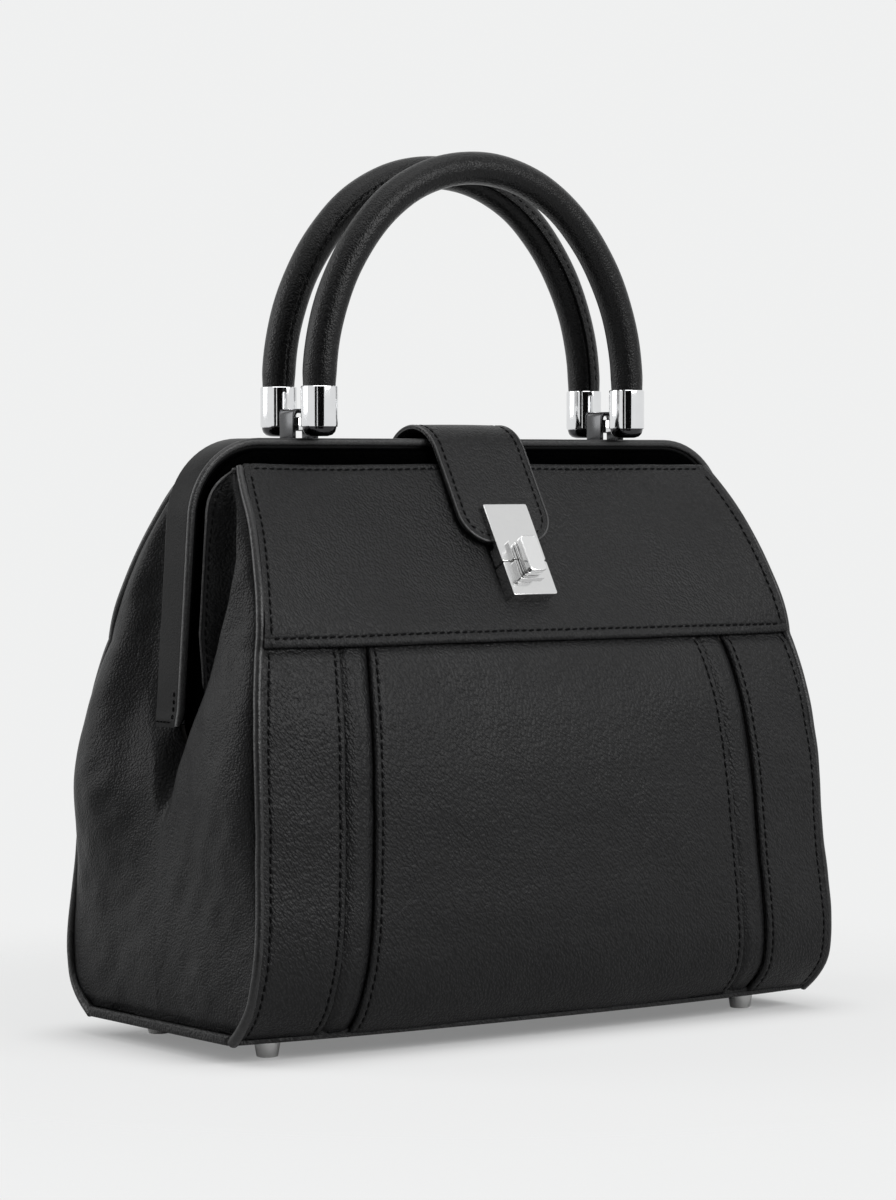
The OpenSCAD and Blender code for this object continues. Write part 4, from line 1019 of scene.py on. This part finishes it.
height = np.where(np.arange(len(c)) < len(upper), rim + 0.25 * (1 - c * c) - groove + pucker, -rim)
mid, out = strap_at(s)
obj = build("strap_leather", [sweep(mid + out * height[..., None] + sideways(w * c))],
            strap_calf, 60)
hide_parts("strap", "strap_tail")
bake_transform(obj)

seams = []
for sx in (-1, 1):
    s = np.linspace(SEAM_IN - REAR_LEN, FRONT_LEN - SEAM_IN, 220)
    mid, out = strap_at(s)
    wide = sideways(sx * strap_half(s, SEAM_IN))
    seams.append(stitches(mid + out * (STRAP_T / 2 + 0.02) + wide, out))
for end, reach in ((SEAM_IN - REAR_LEN, 13), (FRONT_LEN - SEAM_IN, 8.5)):
    mid, out = strap_at(np.full(20, end))
    wide = sideways(np.linspace(-reach, reach, 20))
    seams.append(stitches(mid + out * (STRAP_T / 2 + 0.1) + wide, out))
obj = build("strap_stitches", seams, thread)
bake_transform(obj)

# The painted edge runs round the strap as one bead, paler than the leather as a painted highlight
# too
run = np.linspace(0.55 - REAR_LEN, FRONT_LEN - 0.55, 260)
run = np.concatenate([run, run[::-1]])
mid, out = strap_at(run)
wide = strap_half(run, 0.5) * np.repeat([1, -1], 260)
line = np.concatenate([mid + out * (STRAP_T / 2 - 0.3) + sideways(wide), out], 1)
line, _ = resample(np.concatenate([line, line[:1]]), np.arange(420) / 420)
ahead = unit(np.roll(line[:, :3], -1, 0) - np.roll(line[:, :3], 1, 0))
up = unit(line[:, 3:])
bead = tube(line[:, :3], np.cross(ahead, up), up, 0.46, loop=True)
obj = build("strap_painted_edge_and_highlight", [bead], strap_rim_paint_and_highlight)
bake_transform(obj)


# ---- lock
def box(w, low, high, r, steps=3):
    return [(x, y + (low + high) / 2) for x, y in round_rect(w, high - low, r, steps)]


# Outlines lie in the front yoke's plane and heights stand out from it
LOCK = Matrix(((1, 0, 0, 0), (0, math.sin(LEAN), -math.cos(LEAN), -39.8626),
               (0, math.cos(LEAN), math.sin(LEAN), 181.974), (0, 0, 0, 1)))
plate = [prism(box(21.2, 0.15, 25.8, 0.9), 3.8, 6.4, 0.5, 2),
         prism(box(20.6, 0.15, 7.9, 0.5), 0.5, 4.2, 0.3),
         prism(box(12.0, 0.15, 8.5, 0.6), 6.2, 7.9, 0.5, 3)]
block = [prism(box(21.2, -14.8, -0.15, 0.8), 0.4, 6.4, 0.5, 2),
         prism(box(12.0, -8.5, -0.15, 0.6), 6.2, 7.9, 0.5, 3)]
knob = [prism(box(8.6, -7.5, 7.5, 1.6, 4), 8.1, 9.4, 0.45, 3),
        prism(box(5.6, -6.4, 6.4, 1.2, 3), 9.2, 10.6, 0.2, 1),
        prism(box(8.0, -7.85, 7.85, 1.8, 5), 10.2, 13.2, 0.5, 2)]
for name, parts, mat, node, body in (
        ("lock_upper_plate", plate, lock_chrome, "lock_plate", "strap_end"),
        ("lock_lower_block", block, lock_chrome, "lock_block", "front_frame"),
        ("turning_knob", knob, knob_chrome_highlight, "lock_knob", "knob")):
    obj = build(name, [moved(p, LOCK) for p in parts], mat, 9)
    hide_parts(node)
    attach(obj, body)


# ---- lining
LINING_LOW, LINING_IN = 14, 4.2


def lining_piece(name, side, body):
    cloth = panel(side, lambda z: LINING_IN - half_w(z), lambda z: half_w(z) - LINING_IN,
                  LINING_LOW, 220, steps_of(60), steps_of(68), lambda x, z: -2.9, 0.6)
    return on_body(build(name, [cloth], lining_cloth), body)


obj = lining_piece("front_lining", -1, "walls")
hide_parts("lining")
lining_piece("back_lining", 1, "bag")
parts = []
for front in (True, False):
    z, v = np.meshgrid(np.linspace(LINING_LOW, 219, 70), np.linspace(0.06, 1, 20), indexing="ij")
    parts.append([shell(gusset_skin(sx, front, z, v, 2.2), 0.5, (sx, 0, 0)) for sx in (-1, 1)])
obj = build("end_linings_front", parts[0], lining_cloth)
on_body(obj, "walls")
obj = build("end_linings_back", parts[1], lining_cloth)
on_body(obj, "bag")
rows = floor(around(LINING_LOW, -3.6), [(k, 14.4) for k in (1.0, 0.9, 0.6, 0.3, 0.01)])
obj = build("base_lining", [shell(rows, 0.6, (0, 0, 1))], lining_cloth, 60)
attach(obj, "bag")

# CAD pieces that stay: metal and stiffening inside, in their own finishes
for names, mat in (
        (("foot_nuts", "rear_frame_core", "front_frame_core", "hinge_bushes", "lock_screws"),
         inner_steel),
        (("hinge_pins", "strap_rivets"), chrome),
        (("base_board",), grey_board),
        (("front_handle_core", "back_handle_core"), rope_fibre)):
    for name in names:
        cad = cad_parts[name]
        cad.data.materials.clear()
        cad.data.materials.append(mat)


# ---- stage, light and camera
def stage_mat(name, grey):
    mat, tree, shader = new_material(name)
    feed(tree, shader, {"Base Color": (grey, grey, grey, 1), "Roughness": 0.9,
                        "Specular IOR Level": 0.1})
    return mat, tree


PALE = (0.868, 0.873, 0.873, 1)  # the photo's background
FOOTPRINT = (0.128, 0.042, 0)  # half size of the ground that the feet stand on

bpy.ops.mesh.primitive_circle_add(vertices=96, radius=4.0, fill_type="NGON", location=(0, 0, 0))
ground = bpy.context.object
ground.name = "ground"
mat, tree = stage_mat("ground_mat", 0.82)
place = object_place(tree)
length = add(tree, "VectorMath", {0: place}, "LENGTH").outputs["Value"]
fade = ranged(tree, length, 0.20, 0.42, smooth=True)
# The camera sees the background's own tone, and less of it near the footprint
spread = add(tree, "VectorMath", {0: place}, "ABSOLUTE").outputs[0]
beyond = add(tree, "VectorMath", {0: spread, 1: FOOTPRINT}, "SUBTRACT").outputs[0]
only = add(tree, "VectorMath", {0: beyond, 1: (0, 0, 0)}, "MAXIMUM").outputs[0]
reach = add(tree, "VectorMath", {0: only}, "LENGTH").outputs["Value"]
near = ranged(tree, reach, 0.0, 0.05, 0.25, 0.8, smooth=True)
seen = tree.nodes.new("ShaderNodeLightPath").outputs["Is Camera Ray"]
share = add(tree, "Math", {0: seen, 1: near}, "MULTIPLY").outputs[0]
pale = add(tree, "Emission", {"Color": PALE}).outputs[0]
lit = add(tree, "MixShader", {"Fac": share, 1: tree.nodes["Principled BSDF"].outputs[0], 2: pale})
clear = tree.nodes.new("ShaderNodeBsdfTransparent").outputs[0]
both = add(tree, "MixShader", {"Fac": fade, 1: lit.outputs[0], 2: clear})
feed(tree, tree.nodes["Material Output"], {"Surface": both.outputs[0]})
ground.data.materials.append(mat)

# The world lights the bag dimly; the camera and the reflections see the pale background
world = bpy.data.worlds.new("studio")
bpy.context.scene.world = world
world.use_nodes = True
tree = world.node_tree
back = feed(tree, tree.nodes["Background"], {"Color": (0.22, 0.22, 0.22, 1)})
shown = add(tree, "Background", {"Color": PALE})
rays = tree.nodes.new("ShaderNodeLightPath").outputs
total = add(tree, "Math", {0: rays["Is Camera Ray"], 1: rays["Is Glossy Ray"]}, "ADD")
more = add(tree, "Math", {0: total.outputs[0], 1: rays["Is Transmission Ray"]}, "ADD")
more.use_clamp = True
both = add(tree, "MixShader", {"Fac": more.outputs[0], 1: back.outputs[0], 2: shown.outputs[0]})
feed(tree, tree.nodes["World Output"], {"Surface": both.outputs[0]})

AIM = Vector((0, 0, 0.15))


def spot_at(azimuth, elevation, distance):
    a, e = math.radians(azimuth), math.radians(elevation)
    return AIM + distance * Vector((math.sin(a) * math.cos(e), -math.cos(a) * math.cos(e),
                                    math.sin(e)))


def area(name, azimuth, elevation, width, height, power, distance=1.5):
    data = bpy.data.lights.new(name, "AREA")
    data.shape = "RECTANGLE"
    data.size, data.size_y, data.energy = width, height, power
    lamp = bpy.data.objects.new(name, data)
    bpy.context.scene.collection.objects.link(lamp)
    lamp.location = spot_at(azimuth, elevation, distance)
    lamp.rotation_mode = "QUATERNION"
    lamp.rotation_quaternion = (AIM - lamp.location).to_track_quat("-Z", "Y")


area("right_soft", 16, 27, 0.9, 0.75, 14)
area("left_soft", -128, 22, 0.8, 1.1, 10)
area("top_soft", -20, 80, 1.2, 1.2, 8)

# Two dark cards beyond the camera, seen only in reflections
for name, azimuth, width in (("dark_card_left", -57, 0.78), ("dark_card_right", -26, 2.3)):
    spot = spot_at(azimuth, 8, 3.2)
    bpy.ops.mesh.primitive_plane_add(size=1, location=spot)
    card = bpy.context.object
    card.name = name
    card.scale = (width, 4.0, 1)
    card.rotation_mode = "QUATERNION"
    card.rotation_quaternion = (AIM - spot).to_track_quat("Z", "Y")
    card.data.materials.append(stage_mat(name, 0.004)[0])
    card.visible_camera = False
    card.visible_diffuse = False
    card.visible_shadow = False

cam_data = bpy.data.cameras.new("camera")
cam = bpy.data.objects.new("camera", cam_data)
bpy.context.scene.collection.objects.link(cam)
cam_data.lens = 119.1
cam_data.sensor_width = 36
cam_data.clip_start, cam_data.clip_end = 0.05, 60
AZ, TILT = math.radians(36), math.radians(1.92)
ahead = Vector((math.sin(AZ), math.cos(AZ), 0))
right = Vector((math.cos(AZ), -math.sin(AZ), 0))
cam.location = -1.589 * ahead - 0.0033 * right + Vector((0, 0, 0.222))
cam.rotation_mode = "QUATERNION"
aim = ahead * math.cos(TILT) - Vector((0, 0, math.sin(TILT)))
cam.rotation_quaternion = aim.to_track_quat("-Z", "Y")
bpy.context.scene.camera = cam
bpy.context.scene.view_settings.view_transform = "Standard"
